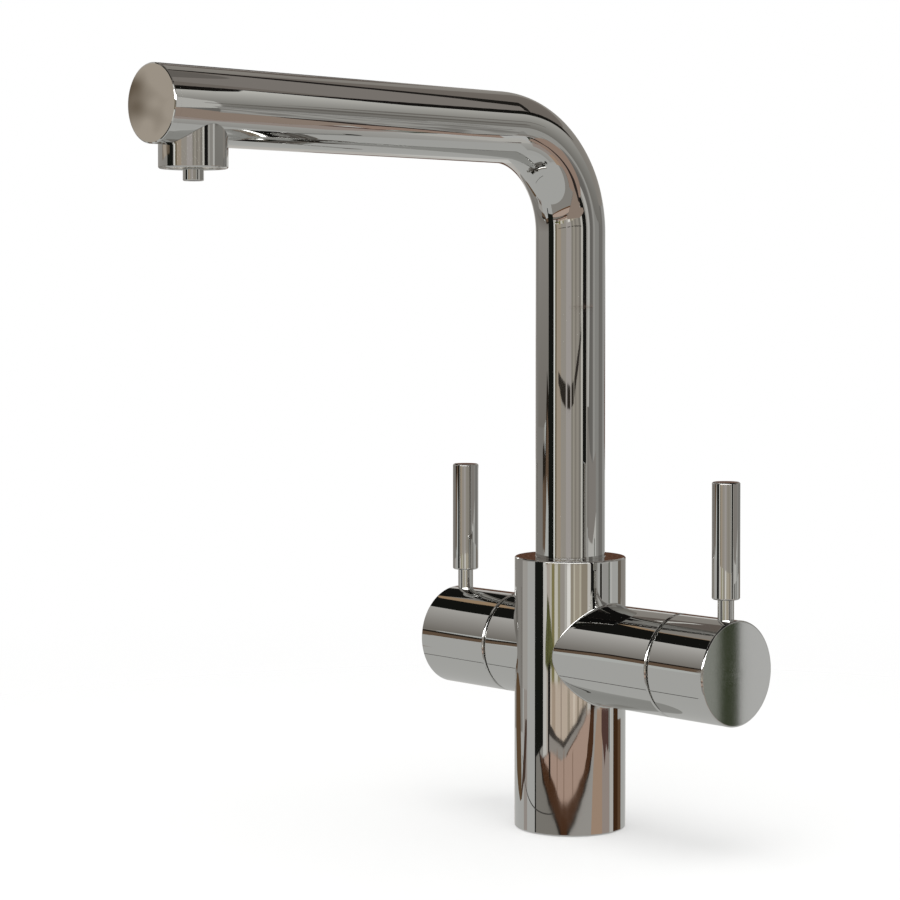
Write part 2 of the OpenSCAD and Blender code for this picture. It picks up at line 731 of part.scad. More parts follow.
module filter_valve_seal() color(rubber_colour) difference() {
  union() {
    bar_x(valve_d - 2 * seated, filter_seat, valve_nose);
    bar_x(valve_bore - 2 * seated, filter_seat, valve_disc_at);
  }
  bar_x(valve_port_d, filter_seat - over, valve_disc_at + over);
}

module filter_fixed_disc() color(ceramic_colour) difference() {
  bar_x(valve_bore - 2 * seated, valve_disc_at, valve_disc_at + disc_t);
  for (s = [-1, 1])
    bar_x(port_d, valve_disc_at - over, valve_disc_at + disc_t + over, [0, s * valve_port_r]);
}

module filter_turning_disc() color(ceramic_colour)
  turning_disc(valve_bore - 2 * valve_disc_play, valve_disc_at + disc_t + disc_gap, valve_recess,
               valve_lug_r, filter_turn);

module filter_spindle() color(steel_colour)
  spindle(valve_bore - 2 * valve_flange_play, valve_flange_at, filter_end - spindle_back,
          valve_lug_r, valve_seal_at, valve_neck_end);
module filter_spindle_seal() color(rubber_colour) spindle_seal(valve_seal_at);
module filter_spindle_clip() color(steel_colour) spindle_clip(valve_neck_end);

module spout_tube() color(chrome_colour) difference() {
  spout_path(tube_d, foot_z, reach - end_cap_t);
  spout_path(tube_in_d, foot_z - over, reach);
  translate([0, outlet_y, arm_under - over]) cylinder(d = outlet_neck_d + 2 * seated, h = tube_d / 2);
}

// Turned foot: plug brazed into the tube, flange on the slide ring, spigot with its grooves
module spout_foot() color(brass_colour) difference() {
  union() {
    translate([0, 0, spigot_z]) cylinder(d = spigot_d, h = foot_z - spigot_z);
    translate([0, 0, foot_z - foot_flange]) cylinder(d = tube_d - 2 * seated, h = foot_flange);
    translate([0, 0, foot_z - over]) cylinder(d = tube_in_d - 2 * seated, h = foot_plug_len + over);
  }
  translate([0, 0, spigot_z - over]) cylinder(d = foot_bore_d, h = body_h);
  for (i = [0, 1]) translate([0, 0, spigot_z + first_seal + i * seal_step - foot_groove_w / 2])
    ring(spigot_d + over, spigot_d - 2 * foot_groove, foot_groove_w);
  translate([0, 0, screw_z - stop_w / 2]) rotate([0, 0, 90 - stop_half])
    rotate_extrude(angle = 2 * stop_half) translate([stop_r, 0]) square([spigot_d, stop_w]);
}

module spout_seals() color(rubber_colour) for (i = [0, 1])
  translate([0, 0, spigot_z + first_seal + i * seal_step])
    o_ring(spigot_d / 2 - seal_r, foot_seal_r);

module spout_end_cap() color(chrome_colour) translate([0, -reach, arm_z]) rotate([-90, 0, 0])
  difference() {
    union() {
      bevelled(tube_d, end_cap_t, edge, 0);
      cylinder(d = tube_in_d - 2 * seated, h = end_cap_t + end_plug_len);
    }
    translate([0, 0, end_cap_t])
      cylinder(d = tube_in_d - 2 * end_plug_wall, h = end_plug_len + over);
  }

// Housing brazed under the arm, with the spokes that carry the nozzle
module outlet_housing() color(chrome_colour) translate([0, outlet_y, 0]) difference() {
  union() {
    difference() {
      translate([0, 0, outlet_z]) bevelled(outlet_d, tube_d / 2 + outlet_drop, edge, 0);
      translate([0, outlet_d, arm_z]) rotate([90, 0, 0])
        cylinder(d = tube_d + 2 * seated, h = 2 * outlet_d);
    }
    translate([0, 0, arm_under - outlet_neck_in])
      cylinder(d = outlet_neck_d, h = spider_up + spider_t + outlet_neck_in);
  }
  translate([0, 0, outlet_z - over]) cylinder(d = aerator_bore, h = spider_z - outlet_z + over);
  difference() {
    translate([0, 0, spider_z - over]) cylinder(d = outlet_neck_bore, h = spider_t + 2 * over);
    translate([0, 0, spider_z]) cylinder(d = hub_d, h = spider_t + over);
    for (a = [90, 210, 330]) rotate([0, 0, a])
      translate([0, -spoke_w / 2, spider_z]) cube([outlet_neck_bore, spoke_w, spider_t + over]);
  }
  translate([0, 0, outlet_z]) cylinder(d = nozzle_d + 2 * seated, h = tube_d);
}

// Aerator: carrier with ribs, screen on the ribs, washer above
module aerator_carrier() color(plastic_colour) translate([0, outlet_y, outlet_z + aerator_up]) {
  ring(aerator_d, aerator_d - 2 * carrier_ring, carrier_len);
  ring(carrier_hub_d, nozzle_d + 2 * carrier_play, carrier_hub_len);
  for (i = [0 : ribs - 1]) rotate([0, 0, i * 360 / ribs])
    translate([carrier_hub_d / 2 - rib_root, -rib_w / 2, 0])
      cube([(aerator_d - carrier_hub_d) / 2 - carrier_ring + 2 * rib_root, rib_w, rib_h]);
}

module aerator_screen() color(steel_colour)
  translate([0, outlet_y, outlet_z + aerator_up + rib_h + seated]) difference() {
    ring(screen_out_d, screen_in_d, screen_t);
    for (row = [0 : screen_rows - 1], i = [0 : screen_holes - 1])
      rotate([0, 0, (i + row / 2) * 360 / screen_holes])
        translate([screen_in_d / 2 + (row + 0.5) * screen_step, 0, -over])
          cylinder(d = screen_hole_d, h = screen_t + 2 * over, $fn = 16);
  }

module aerator_washer() color(rubber_colour) translate([0, outlet_y, spider_z - washer_h - seated])
  ring(aerator_d - 2 * seated, aerator_d - 2 * washer_w, washer_h);

module filter_nozzle() color(chrome_colour) difference() {
  union() {
    translate([0, outlet_y, nozzle_z]) bevelled(nozzle_d, arm_z - nozzle_z, nozzle_edge, 0);
    translate([0, outlet_y, spider_z + spider_t])
      bevelled(hub_d, nozzle_head_top - spider_z - spider_t, 0, edge);
    translate([0, outlet_y, arm_z]) rotate([-90, 0, 0]) {
      cylinder(d = nozzle_boss_d, h = hub_d / 2 + nozzle_boss);
      bevelled(barb_d, hub_d / 2 + barb_len, 0, edge);
    }
  }
  translate([0, outlet_y, nozzle_z - over]) cylinder(d = nozzle_bore, h = arm_z - nozzle_z + 2 * over);
  translate([0, outlet_y, arm_z]) rotate([-90, 0, 0]) cylinder(d = barb_bore, h = reach);
}

module filter_hose() color(hose_colour) difference() {
  spout_path(hose_d, chamber_z + barb_flange_t + hose_gap, hose_end);
  spout_path(hose_bore, chamber_z, reach);
}

body();
inlet_block();
inlet_seals();
inlet_block_screws();
base_seal();
retaining_screw();
upper_slide_ring();
lower_slide_ring();
hose_barb();
mixer_cartridge_base();
mixer_port_seals();
mixer_fixed_disc();
mixer_cartridge_shell();
mixer_cartridge_nut();
mixer_slide_ring();
mixer_turning_disc();
mixer_spindle();
mixer_spindle_seal();
mixer_spindle_clip();
mixer_cap();
mixer_cap_screw();
mixer_lever_rod();
mixer_lever_grip();
filter_valve_body();
filter_valve_seal();
filter_fixed_disc();
filter_slide_ring();
filter_turning_disc();
filter_spindle();
filter_spindle_seal();
filter_spindle_clip();
filter_cap();
filter_cap_screw();
filter_lever_rod();
filter_lever_grip();
spout_tube();
spout_foot();
spout_seals();
spout_end_cap();
outlet_housing();
aerator_carrier();
aerator_screen();
aerator_washer();
filter_nozzle();
filter_hose();
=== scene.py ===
"""Three way filtered water tap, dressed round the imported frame.

Lengths of the pieces are written in millimetres, as on a drawing, and become metres in the mesh. The base
face's centre is the origin, the spout points to -Y, the hot and cold lever is on the -X barrel, the filter
lever on +X.
"""
import math

import bpy
import numpy as np
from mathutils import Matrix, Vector


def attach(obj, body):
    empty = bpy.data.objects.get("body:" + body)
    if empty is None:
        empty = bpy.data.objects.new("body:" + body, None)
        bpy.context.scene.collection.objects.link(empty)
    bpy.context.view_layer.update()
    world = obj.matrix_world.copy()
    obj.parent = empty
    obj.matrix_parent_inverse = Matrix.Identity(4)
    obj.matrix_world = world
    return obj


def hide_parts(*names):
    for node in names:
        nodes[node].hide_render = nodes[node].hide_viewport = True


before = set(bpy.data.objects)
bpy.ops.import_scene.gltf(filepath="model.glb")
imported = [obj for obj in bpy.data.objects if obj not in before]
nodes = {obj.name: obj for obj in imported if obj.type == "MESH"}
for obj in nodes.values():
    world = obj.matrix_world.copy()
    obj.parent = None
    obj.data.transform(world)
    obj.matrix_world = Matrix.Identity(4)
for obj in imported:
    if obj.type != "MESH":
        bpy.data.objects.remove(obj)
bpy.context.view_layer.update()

# Camera. A long lens 1.1 m away, a little above the middle of the tap and to its front right. The small
# shift keeps the tap's upright edges upright, as in a catalogue picture.
EYE = Vector((0.75179, -0.77224, 0.23415))
YAW, PITCH = math.radians(42.8928), math.radians(1.3017)
lens = bpy.data.cameras.new("long_lens")
lens.lens, lens.sensor_width, lens.shift_y = 95.895, 36, -0.10
camera = bpy.data.objects.new("camera", lens)
camera.location = EYE
gaze = Vector((-math.cos(YAW) * math.cos(PITCH), math.sin(YAW) * math.cos(PITCH), -math.sin(PITCH)))
camera.rotation_euler = gaze.to_track_quat("-Z", "Y").to_euler()
bpy.context.scene.collection.objects.link(camera)
bpy.context.scene.camera = camera
bpy.context.scene.view_settings.view_transform = "Standard"


# Upright body. A brass casting, turned and chromed: a straight cylinder that carries a short barrel to the
# left and a long one to the right, with a hair of polishing radius where they meet it. Its flat top ring
# keeps the lathe's rings, with a painted brown reflection along them.
def linear(hex_colour):
    """sRGB hex to linear RGBA: c / 12.92 below 0.04045, and ((c + 0.055) / 1.055) ^ 2.4 above."""
    c = np.array([int(hex_colour[i:i + 2], 16) for i in (1, 3, 5)]) / 255
    return (*np.where(c <= 0.04045, c / 12.92, ((c + 0.055) / 1.055) ** 2.4), 1.0)


def add(material, kind, values=(), **links):
    """Adds a node. Values sets its properties and sockets, links joins sockets to other nodes' outputs."""
    node = material.node_tree.nodes.new("ShaderNode" + kind)
    for name, value in dict(values).items():
        if isinstance(name, str) and hasattr(node, name):
            setattr(node, name, value)
        else:
            node.inputs[name].default_value = value
    for name, source in links.items():
        key = int(name[1:]) if name[0] == "_" and name[1:].isdigit() else name.replace("_", " ")
        material.node_tree.links.new(source, node.inputs[key])
    return node


def fresh(name):
    """A new material with an empty node tree."""
    material = bpy.data.materials.new(name)
    material.use_nodes = True
    material.node_tree.nodes.clear()
    return material


def finish_with(material, shader):
    """Joins a shader to the material's surface."""
    out = add(material, "OutputMaterial")
    material.node_tree.links.new(shader.outputs[0], out.inputs["Surface"])
    return material


CHROME = linear("#D0D0CE")


def polished_chrome():
    """Bright chromium over polished brass. The buffing wheel leaves the surface very slightly wavy, 13 mm
    from crest to crest (75 to the metre), and handling leaves patches of 26 mm a touch less glossy."""
    m = fresh("polished_chrome_plate")
    place = add(m, "TexCoord").outputs["Object"]
    haze = add(m, "TexNoise", {"Scale": 38.0, "Detail": 3.0}, Vector=place)
    gloss = add(m, "MapRange", {"From Min": 0.35, "From Max": 0.7, "To Min": 0.012, "To Max": 0.045},
                Value=haze.outputs["Fac"])
    wave = add(m, "TexNoise", {"Scale": 75.0, "Detail": 1.0}, Vector=place)
    bump = add(m, "Bump", {"Strength": 0.02, "Distance": 0.0006}, Height=wave.outputs["Fac"])
    metal = add(m, "BsdfPrincipled", {"Base Color": CHROME, "Metallic": 1.0},
                Roughness=gloss.outputs["Result"], Normal=bump.outputs["Normal"])
    return finish_with(m, metal)


def turned_chrome(name, centre, axis, pitch=0.0005, depth=0.004, roughness=0.05, painted_reflection_tone=CHROME):
    """Chromium over a faced end. The lathe tool leaves fine rings about the axis, pitch apart. A painted
    reflection tone, if given, is mixed into the base colour along the rings, fullest where they dip: a
    painted reflection. distance = |place - centre| across the axis, rings = sin(2 pi distance / pitch)."""
    m = fresh(name)
    place = add(m, "TexCoord").outputs["Object"]
    keep = tuple(0.0 if i == axis else 1.0 for i in range(3))
    local = add(m, "VectorMath", {"operation": "SUBTRACT", 1: tuple(c * 0.001 for c in centre)}, _0=place)
    flat = add(m, "VectorMath", {"operation": "MULTIPLY", 1: keep}, _0=local.outputs[0])
    reach = add(m, "VectorMath", {"operation": "LENGTH"}, _0=flat.outputs[0])
    turns = add(m, "Math", {"operation": "MULTIPLY", 1: 2 * math.pi / pitch}, _0=reach.outputs["Value"])
    rings = add(m, "Math", {"operation": "SINE"}, _0=turns.outputs[0])
    bump = add(m, "Bump", {"Strength": depth, "Distance": 0.00005}, Height=rings.outputs[0])
    metal = add(m, "BsdfPrincipled", {"Base Color": CHROME, "Metallic": 1.0, "Roughness": roughness},
                Normal=bump.outputs["Normal"])
    # Painted reflection: the base colour turns towards the given tone where the rings dip.
    if painted_reflection_tone != CHROME:
        share = add(m, "MapRange", {"From Min": -0.6, "From Max": 0.8}, Value=rings.outputs[0])
        tone = add(m, "Mix", {"data_type": "RGBA", 6: painted_reflection_tone, 7: CHROME}, _0=share.outputs["Result"])
        m.node_tree.links.new(tone.outputs[2], metal.inputs["Base Color"])
    return finish_with(m, metal)


def rounded(corners, radius=0.55, steps=5):
    """Half outline (r, h) with its inner corners rounded, and its normals.

    The piece lies to the left of the outline, so a side along d = (dr, dh) has the normal (dh, -dr). An arc
    touches both sides at radius * tan(turn / 2) from the corner, and its normal turns evenly from one
    side's to the next's.
    """
    p = np.asarray(corners, float)
    d = np.diff(p, axis=0)
    length = np.linalg.norm(d, axis=1)
    d /= length[:, None]
    side = np.stack([d[:, 1], -d[:, 0]], axis=1)
    turn = np.arctan2(d[:-1, 0] * d[1:, 1] - d[:-1, 1] * d[1:, 0], (d[:-1] * d[1:]).sum(axis=1))
    slope = np.tan(np.abs(turn) / 2)
    cut = np.minimum(radius * slope, 0.45 * np.minimum(length[:-1], length[1:]))
    bend = np.sign(turn) * cut / slope
    start = p[1:-1] - d[:-1] * cut[:, None]
    centre = start - side[:-1] * bend[:, None]
    angle = np.arctan2(side[:-1, 1], side[:-1, 0])[:, None] + turn[:, None] * np.linspace(0, 1, steps + 1)
    normal = np.stack([np.cos(angle), np.sin(angle)], axis=-1)
    arc = centre[:, None] + normal * bend[:, None, None]
    return (np.concatenate([p[:1], arc.reshape(-1, 2), p[-1:]]),
            np.concatenate([side[:1], normal.reshape(-1, 2), side[-1:]]))


FULL = np.linspace(0, 2 * np.pi, 193)
X, Y, Z = np.eye(3)


def spun(outline, centre, axis, u, v, turns=FULL):
    """Outline carried round an axis: point = centre + h * axis + r * (u cos(turn) + v sin(turn))."""
    rows, sides = outline
    out = np.outer(np.cos(turns), u) + np.outer(np.sin(turns), v)
    points = np.asarray(centre) + rows[:, None, 1:] * axis + rows[:, None, :1] * out
    normals = sides[:, None, 1:] * axis + sides[:, None, :1] * out
    return points, normals


def pierced(across, along, at, openings):
    """Surface at(a, b) on the grid across x along, with openings.

    An opening leaves out a block of cells. Rings fill the block, from the opening's own outline to the
    block's border, corner for corner: (a, b) = outline + share * (border - outline). Returns the grids, and
    the angles of each opening's corners about its centre.
    """
    a, b = np.meshgrid(across, along)
    keep = np.ones((len(along) - 1, len(across) - 1), bool)
    grids, spins = [], []
    for (a0, a1, b0, b1), (ca, cb), (per_a, per_b), outline in openings:
        i0, i1 = np.abs(across - a0).argmin(), np.abs(across - a1).argmin()
        j0, j1 = np.abs(along - b0).argmin(), np.abs(along - b1).argmin()
        keep[j0:j1, i0:i1] = False
        wide, tall = i1 - i0, j1 - j0
        i = np.concatenate([np.arange(i0, i1), np.full(tall, i1), np.arange(i1, i0, -1),
                            np.full(tall + 1, i0)])
        j = np.concatenate([np.full(wide, j0), np.arange(j0, j1), np.full(wide, j1),
                            np.arange(j1, j0 - 1, -1)])
        border = np.stack([across[i], along[j]])
        spin = np.arctan2((border[1] - cb) * per_b, (border[0] - ca) * per_a)
        inner = np.stack(outline(spin))
        share = np.linspace(0, 1, 9)[:, None, None]
        ring = inner + share * (border - inner)
        grids.append(at(ring[:, 0], ring[:, 1]))
        spins.append(spin)
    points, normals = at(a, b)
    return [(points, normals, keep), *grids], spins


def made(name, grids, body, replaced, materials=()):
    """Mesh of grids of points (rows, columns, 3), each with normals and maybe a mask of cells to keep.

    Points in the same place are welded, a cell whose corners fall together becomes a triangle, and each cell
    is turned to face along its normals, which the corners keep. A grid may end with its material's number.
    """
    points, normals, cells, paint, shift = [], [], [], [], 0
    for grid in grids:
        p, n = grid[0], grid[1]
        every = np.ones((p.shape[0] - 1, p.shape[1] - 1), bool)
        mask = next((g for g in grid[2:] if isinstance(g, np.ndarray)), every)
        index = shift + np.arange(p.shape[0] * p.shape[1]).reshape(p.shape[:2])
        cell = np.stack([index[:-1, :-1], index[:-1, 1:], index[1:, 1:], index[1:, :-1]], axis=-1)[mask]
        points.append(p.reshape(-1, 3))
        normals.append(n.reshape(-1, 3))
        cells.append(cell)
        paint.append(np.full(len(cell), next((g for g in grid[2:] if isinstance(g, int)), 0)))
        shift += index.size
    points, normals = np.concatenate(points), np.concatenate(normals)
    cells, paint = np.concatenate(cells), np.concatenate(paint)
    corner = points[cells]
    facing = np.cross(corner[:, 2] - corner[:, 0], corner[:, 3] - corner[:, 1])
    inside_out = (facing * normals[cells].sum(axis=1)).sum(axis=1) < 0
    cells[inside_out] = cells[inside_out, ::-1]
    place = np.round(points * 1e4).astype(np.int64)
    _, first, weld = np.unique(place, axis=0, return_index=True, return_inverse=True)
    loops = weld.reshape(-1)[cells]
    keep = loops != np.roll(loops, -1, axis=1)
    size = keep.sum(axis=1)
    keep[size < 3] = False
    size, paint = size[size > 2], paint[size > 2]
    mesh = bpy.data.meshes.new(name)
    mesh.vertices.add(len(first))
    mesh.vertices.foreach_set("co", (points[first] * 0.001).ravel())
    mesh.loops.add(int(keep.sum()))
    mesh.loops.foreach_set("vertex_index", loops[keep])
    mesh.polygons.add(len(size))
    mesh.polygons.foreach_set("loop_start", np.concatenate([[0], np.cumsum(size)[:-1]]))
    mesh.polygons.foreach_set("material_index", paint)
    mesh.polygons.foreach_set("use_smooth", np.ones(len(size), bool))
    mesh.update(calc_edges=True)
    mesh.normals_split_custom_set(normals[cells][keep])
    for material in materials or (CHROME_PLATE,):
        mesh.materials.append(material)
    piece = bpy.data.objects.new(name, mesh)
    bpy.context.scene.collection.objects.link(piece)
    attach(piece, body)
    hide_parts(*replaced)
    return piece


CHROME_PLATE = polished_chrome()
AXIS_Z = 79.25
BODY_R, BODY_H, BARREL_R, EDGE, SEAM = 25.0, 121.5, 22.5, 0.5, 1.0
CORNER_R = 0.8
MIXER_STUB, FILTER_STUB = 32.5, 66.1
MIXER_NECK_END, FILTER_NECK_END = 46.0, 76.1
COLLAR_R, COLLAR_W, NECK_R = 20.2, 1.4, 19.7
SCREW_Z, SCREW_HOLE_R, SCREW_HOLE_FLOOR = 92.0, 2.55, 13.6
BLOCK_SEAT_R, BLOCK_SEAT_Z = 20.05, 21.0
GROOVE_IN_R, GROOVE_OUT_R, GROOVE_DEEP = 21.5, 23.9, 1.8


def on_body(a, b):
    """The upright's surface: (R cos a, R sin a, b)."""
    n = np.stack([np.cos(a), np.sin(a), 0 * a], axis=-1)
    return np.stack([BODY_R * np.cos(a), BODY_R * np.sin(a), b], axis=-1), n


def corner_ball(spin):
    """Centre of a ball of CORNER_R that touches upright and barrel, at an angle about the barrel's axis: out
    along the barrel, across, and up. It keeps R + ball from one axis and r + ball from the other."""
    across, up = (BARREL_R + CORNER_R) * np.cos(spin), (BARREL_R + CORNER_R) * np.sin(spin)
    return np.sqrt((BODY_R + CORNER_R) ** 2 - across ** 2), across, up


def mouth(side):
    """Where that ball touches the upright, as the angle about the upright's axis and the height."""
    def outline(spin):
        out, across, up = corner_ball(spin)
        return side + np.arctan2(across, out), AXIS_Z + up
    return outline


def round_hole(radius, cylinder_r, ca, cb):
    """Round hole square to a cylinder: asin(radius cos(spin) / R) round it, radius sin(spin) along it."""
    return lambda spin: (ca + np.arcsin(radius * np.cos(spin) / cylinder_r), cb + radius * np.sin(spin))


def barrel(side, spin, rows):
    """The rolling ball's corner, then the barrel and the rest of the outline, out along the barrel's axis."""
    e, t = np.array([np.cos(side), np.sin(side), 0]), np.array([-np.sin(side), np.cos(side), 0])
    out, across, up = corner_ball(spin)
    ball = np.outer(out, e) + np.outer(across, t) + np.outer(up, Z) + AXIS_Z * Z
    to_body = -(np.outer(out, e) + np.outer(across, t)) / (BODY_R + CORNER_R)
    radial = np.outer(np.cos(spin), t) + np.outer(np.sin(spin), Z)
    angle = np.arccos((to_body * -radial).sum(axis=1))[:, None]
    share = np.linspace(0, 1, 7)[:, None, None]
    way = (np.sin((1 - share) * angle) * to_body - np.sin(share * angle) * radial) / np.sin(angle)
    corner = (ball + CORNER_R * way, -way)
    first = corner[0][-1:], corner[1][-1:]
    points, normals = spun(rounded(rows), AXIS_Z * Z, e, t, Z, spin)
    return [corner, (np.concatenate([first[0], points]), np.concatenate([first[1], normals]))]


# The patch of the upright's grid that an opening takes up, as half a turn and half a height
BARREL_PATCH = math.radians(70), 24.5
SCREW_PATCH = math.radians(7.5), 4.4
back = math.pi / 2
across = np.radians(np.linspace(-90, 270, 289))
low, high = AXIS_Z - BARREL_PATCH[1], AXIS_Z + BARREL_PATCH[1]
along = np.concatenate([np.linspace(EDGE + 1, low, 12)[:-1], np.linspace(low, high, 29),
                        np.linspace(high, BODY_H - EDGE - 1, 6)[1:]])
skin, spins = pierced(across, along, on_body, [
    *(((side - BARREL_PATCH[0], side + BARREL_PATCH[0], low, high), (side, AXIS_Z), (BODY_R, 1), mouth(side))
      for side in (0, math.pi)),
    ((back - SCREW_PATCH[0], back + SCREW_PATCH[0], SCREW_Z - SCREW_PATCH[1], SCREW_Z + SCREW_PATCH[1]),
     (back, SCREW_Z), (BODY_R, 1), round_hole(SCREW_HOLE_R, BODY_R, back, SCREW_Z)),
])


def bored(start, *steps):
    """Outline of a stepped bore: each step keeps its radius from the one before it to its depth, and the
    last has a flat floor. A step is (radius, depth), and depths are measured as the outline's h is."""
    rows = []
    for radius, depth in steps:
        rows += [(radius, start), (radius, depth)]
        start = depth
    return [*rows, (0, start)]


def end_of(stub, neck_end, *steps):
    """Barrel's end: bevel, end face, the collar and neck behind the seam, then the bore back to the seat."""
    return [(BARREL_R, stub - EDGE - 1), (BARREL_R, stub - EDGE), (BARREL_R - EDGE, stub), (COLLAR_R, stub),
            (COLLAR_R, stub + COLLAR_W), (NECK_R, stub + COLLAR_W), (NECK_R, neck_end),
            *bored(neck_end, *steps)]


# The bores of the valve, of the cartridge, and of the spout's foot with its slide rings, down to the waterway
valve_bore = (16.5, 52), (12.5, 46), (10.1, 43), (15.5, 37), (10.1, 26)
filter_end_rows = end_of(FILTER_STUB, FILTER_NECK_END, *valve_bore)
mixer_end_rows = end_of(MIXER_STUB, MIXER_NECK_END, (18.2, 40), (17.6, 24))
top_rows = [(BODY_R, BODY_H - EDGE - 1), (BODY_R, BODY_H - EDGE), (BODY_R - EDGE, BODY_H),
            *bored(BODY_H, (15.8, 118), (17.35, 112), (15.8, 97), (13.1, 58), (4, 46))]
foot_rows = [(0, BLOCK_SEAT_Z), (BLOCK_SEAT_R, BLOCK_SEAT_Z), (BLOCK_SEAT_R, 0), (GROOVE_IN_R, 0),
             (GROOVE_IN_R, GROOVE_DEEP), (GROOVE_OUT_R, GROOVE_DEEP), (GROOVE_OUT_R, 0), (BODY_R - EDGE, 0),
             (BODY_R, EDGE), (BODY_R, EDGE + 1)]
screw_mouth = np.sqrt(BODY_R ** 2 - (SCREW_HOLE_R * np.cos(spins[2])) ** 2)
screw_ring = (np.outer(SCREW_HOLE_R * np.cos(spins[2]), -X) + np.outer(screw_mouth, Y)
              + np.outer(SCREW_Z + SCREW_HOLE_R * np.sin(spins[2]), Z))[None]
pocket_rows = bored(BODY_R - 1, (SCREW_HOLE_R, SCREW_HOLE_FLOOR))
pocket = spun(rounded(pocket_rows), SCREW_Z * Z, Y, -X, Z, spins[2])
foot = spun(rounded(foot_rows), (0, 0, 0), Z, X, Y, across)
top = spun(rounded(top_rows), (0, 0, 0), Z, X, Y, across)
TOP_ROW = int(np.argmin(np.abs(top[1][:, 0, 2] - 1) + np.abs(top[0][:, 0, 2] - BODY_H)))
TOP_FACE = np.zeros((top[0].shape[0] - 1, top[0].shape[1] - 1), bool)
TOP_FACE[TOP_ROW] = True
# Real tool marks are too fine to show. Those of the top face are drawn as coarse as they need, 2.3 mm apart.
RING_PITCH = 0.0023
# The top face's darker brown along the rings is a painted reflection.
top_ring = turned_chrome("turned_chrome_top_ring", (0, 0, 0), 2, RING_PITCH, 0.15, 0.06, linear("#85807C"))
made("tap_upright", [
    *skin, *barrel(0, spins[0], filter_end_rows), *barrel(math.pi, spins[1], mixer_end_rows), foot,
    (*top, ~TOP_FACE), (*top, TOP_FACE, 1),
    (np.concatenate([screw_ring, pocket[0]]), np.concatenate([pocket[1][:1], pocket[1]])),
], "tap_body", ["body"], materials=(CHROME_PLATE, top_ring))


# Turning caps. Each is a chromed brass cup that closes its barrel with the same diameter, a millimetre of
# open seam away. It is bored for the neck and the spindle, has the lever's hole on top and a clamping
# screw's hole below.
BORE_R, CAP_FLOOR, SPINDLE_R, SPINDLE_FLOOR, LEVER_IN, SCREW_IN = 20.7, 13.0, 5.05, 5.7, 6.4, 9.4
ROD_HOLE_R, THREAD_HOLE_R, CLAMP_HOLE_R = 3.55, 3.05, 2.05
LIP, ROD_SEAT, THREAD_FLOOR, CLAMP_FLOOR = 21.5, 20.45, 9.0, 5.2
# Patches of the cap's grid round the two holes: half turns, and half a length for the clamping screw's
LEVER_PATCH, CLAMP_PATCH, CLAMP_PATCH_LEN = 0.24, 0.16, 3.6


def cap(name, body, side, start, end, replaced):
    """Cup about the barrel's axis: P = e * b + r * (t cos a + z sin a), with two holes square to its wall."""
    e, t = np.array([side, 0, 0.0]), np.array([0, side, 0.0])

    def wall(a, b):
        n = np.cos(a)[..., None] * t + np.sin(a)[..., None] * Z
        return AXIS_Z * Z + b[..., None] * e + BARREL_R * n, n

    turn = np.radians(np.linspace(-180, 180, 217))
    lever, clamp = end - LEVER_IN, end - SCREW_IN
    near, far = clamp - CLAMP_PATCH_LEN, clamp + CLAMP_PATCH_LEN
    rows = np.concatenate([np.linspace(start + EDGE + 1, near, 9)[:-1], np.linspace(near, far, 13)[:-1],
                           np.linspace(far, end - EDGE - 1, 8)])
    up, down = math.pi / 2, -math.pi / 2
    skin, spins = pierced(turn, rows, wall, [
        ((up - LEVER_PATCH, up + LEVER_PATCH, rows[9], rows[-3]), (up, lever), (BARREL_R, 1),
         round_hole(ROD_HOLE_R, BARREL_R, up, lever)),
        ((down - CLAMP_PATCH, down + CLAMP_PATCH, near, far), (down, clamp), (BARREL_R, 1),
         round_hole(CLAMP_HOLE_R, BARREL_R, down, clamp)),
    ])

    def hole(spin, at, axis, u, radius, inner):
        """The hole's wall: its mouth lies on the cap's surface, then the outline runs inwards."""
        rise = np.sqrt(BARREL_R ** 2 - (radius * np.cos(spin)) ** 2)
        centre = AXIS_Z * Z + at * e
        ring = np.outer(np.cos(spin), u) + np.outer(np.sin(spin), e)
        mouth_ring = centre + radius * ring + np.outer(rise, axis)
        points, normals = spun(rounded(inner), centre, axis, u, e, spin)
        return np.concatenate([mouth_ring[None], points]), np.concatenate([normals[:1], normals])

    rod_rows = bored(LIP, (ROD_HOLE_R, ROD_SEAT), (THREAD_HOLE_R, THREAD_FLOOR))
    clamp_rows = bored(LIP, (CLAMP_HOLE_R, CLAMP_FLOOR))
    holes = [hole(spins[0], lever, Z, -t, ROD_HOLE_R, rod_rows),
             hole(spins[1], clamp, -Z, t, CLAMP_HOLE_R, clamp_rows)]
    front_rows = [(BARREL_R, end - EDGE - 1), (BARREL_R, end - EDGE), (BARREL_R - EDGE, end), (0, end)]
    front = spun(rounded(front_rows), AXIS_Z * Z, e, t, Z, turn)
    bore_rows = [(0, end - SPINDLE_FLOOR), (SPINDLE_R, end - SPINDLE_FLOOR), (SPINDLE_R, end - CAP_FLOOR),
                 (BORE_R, end - CAP_FLOOR), (BORE_R, start), (BARREL_R - EDGE, start),
                 (BARREL_R, start + EDGE), (BARREL_R, start + EDGE + 1)]
    bore = spun(rounded(bore_rows), AXIS_Z * Z, e, t, Z, turn)
    face = np.zeros((front[0].shape[0] - 1, front[0].shape[1] - 1), bool)
    face[-1] = True
    made(name, [*skin, *holes, bore, (*front, ~face), (*front, face, 1)], body, replaced,
         materials=(CHROME_PLATE, turned_chrome("turned_chrome_" + name, (0, 0, AXIS_Z), 0)))


MIXER_END, FILTER_END = 75.0, 98.0
cap("hot_cold_cap", "mixer_lever", -1, MIXER_STUB + SEAM, MIXER_END, ["mixer_cap"])
cap("filter_cap_skin", "filter_lever", 1, FILTER_STUB + SEAM, FILTER_END, ["filter_cap"])

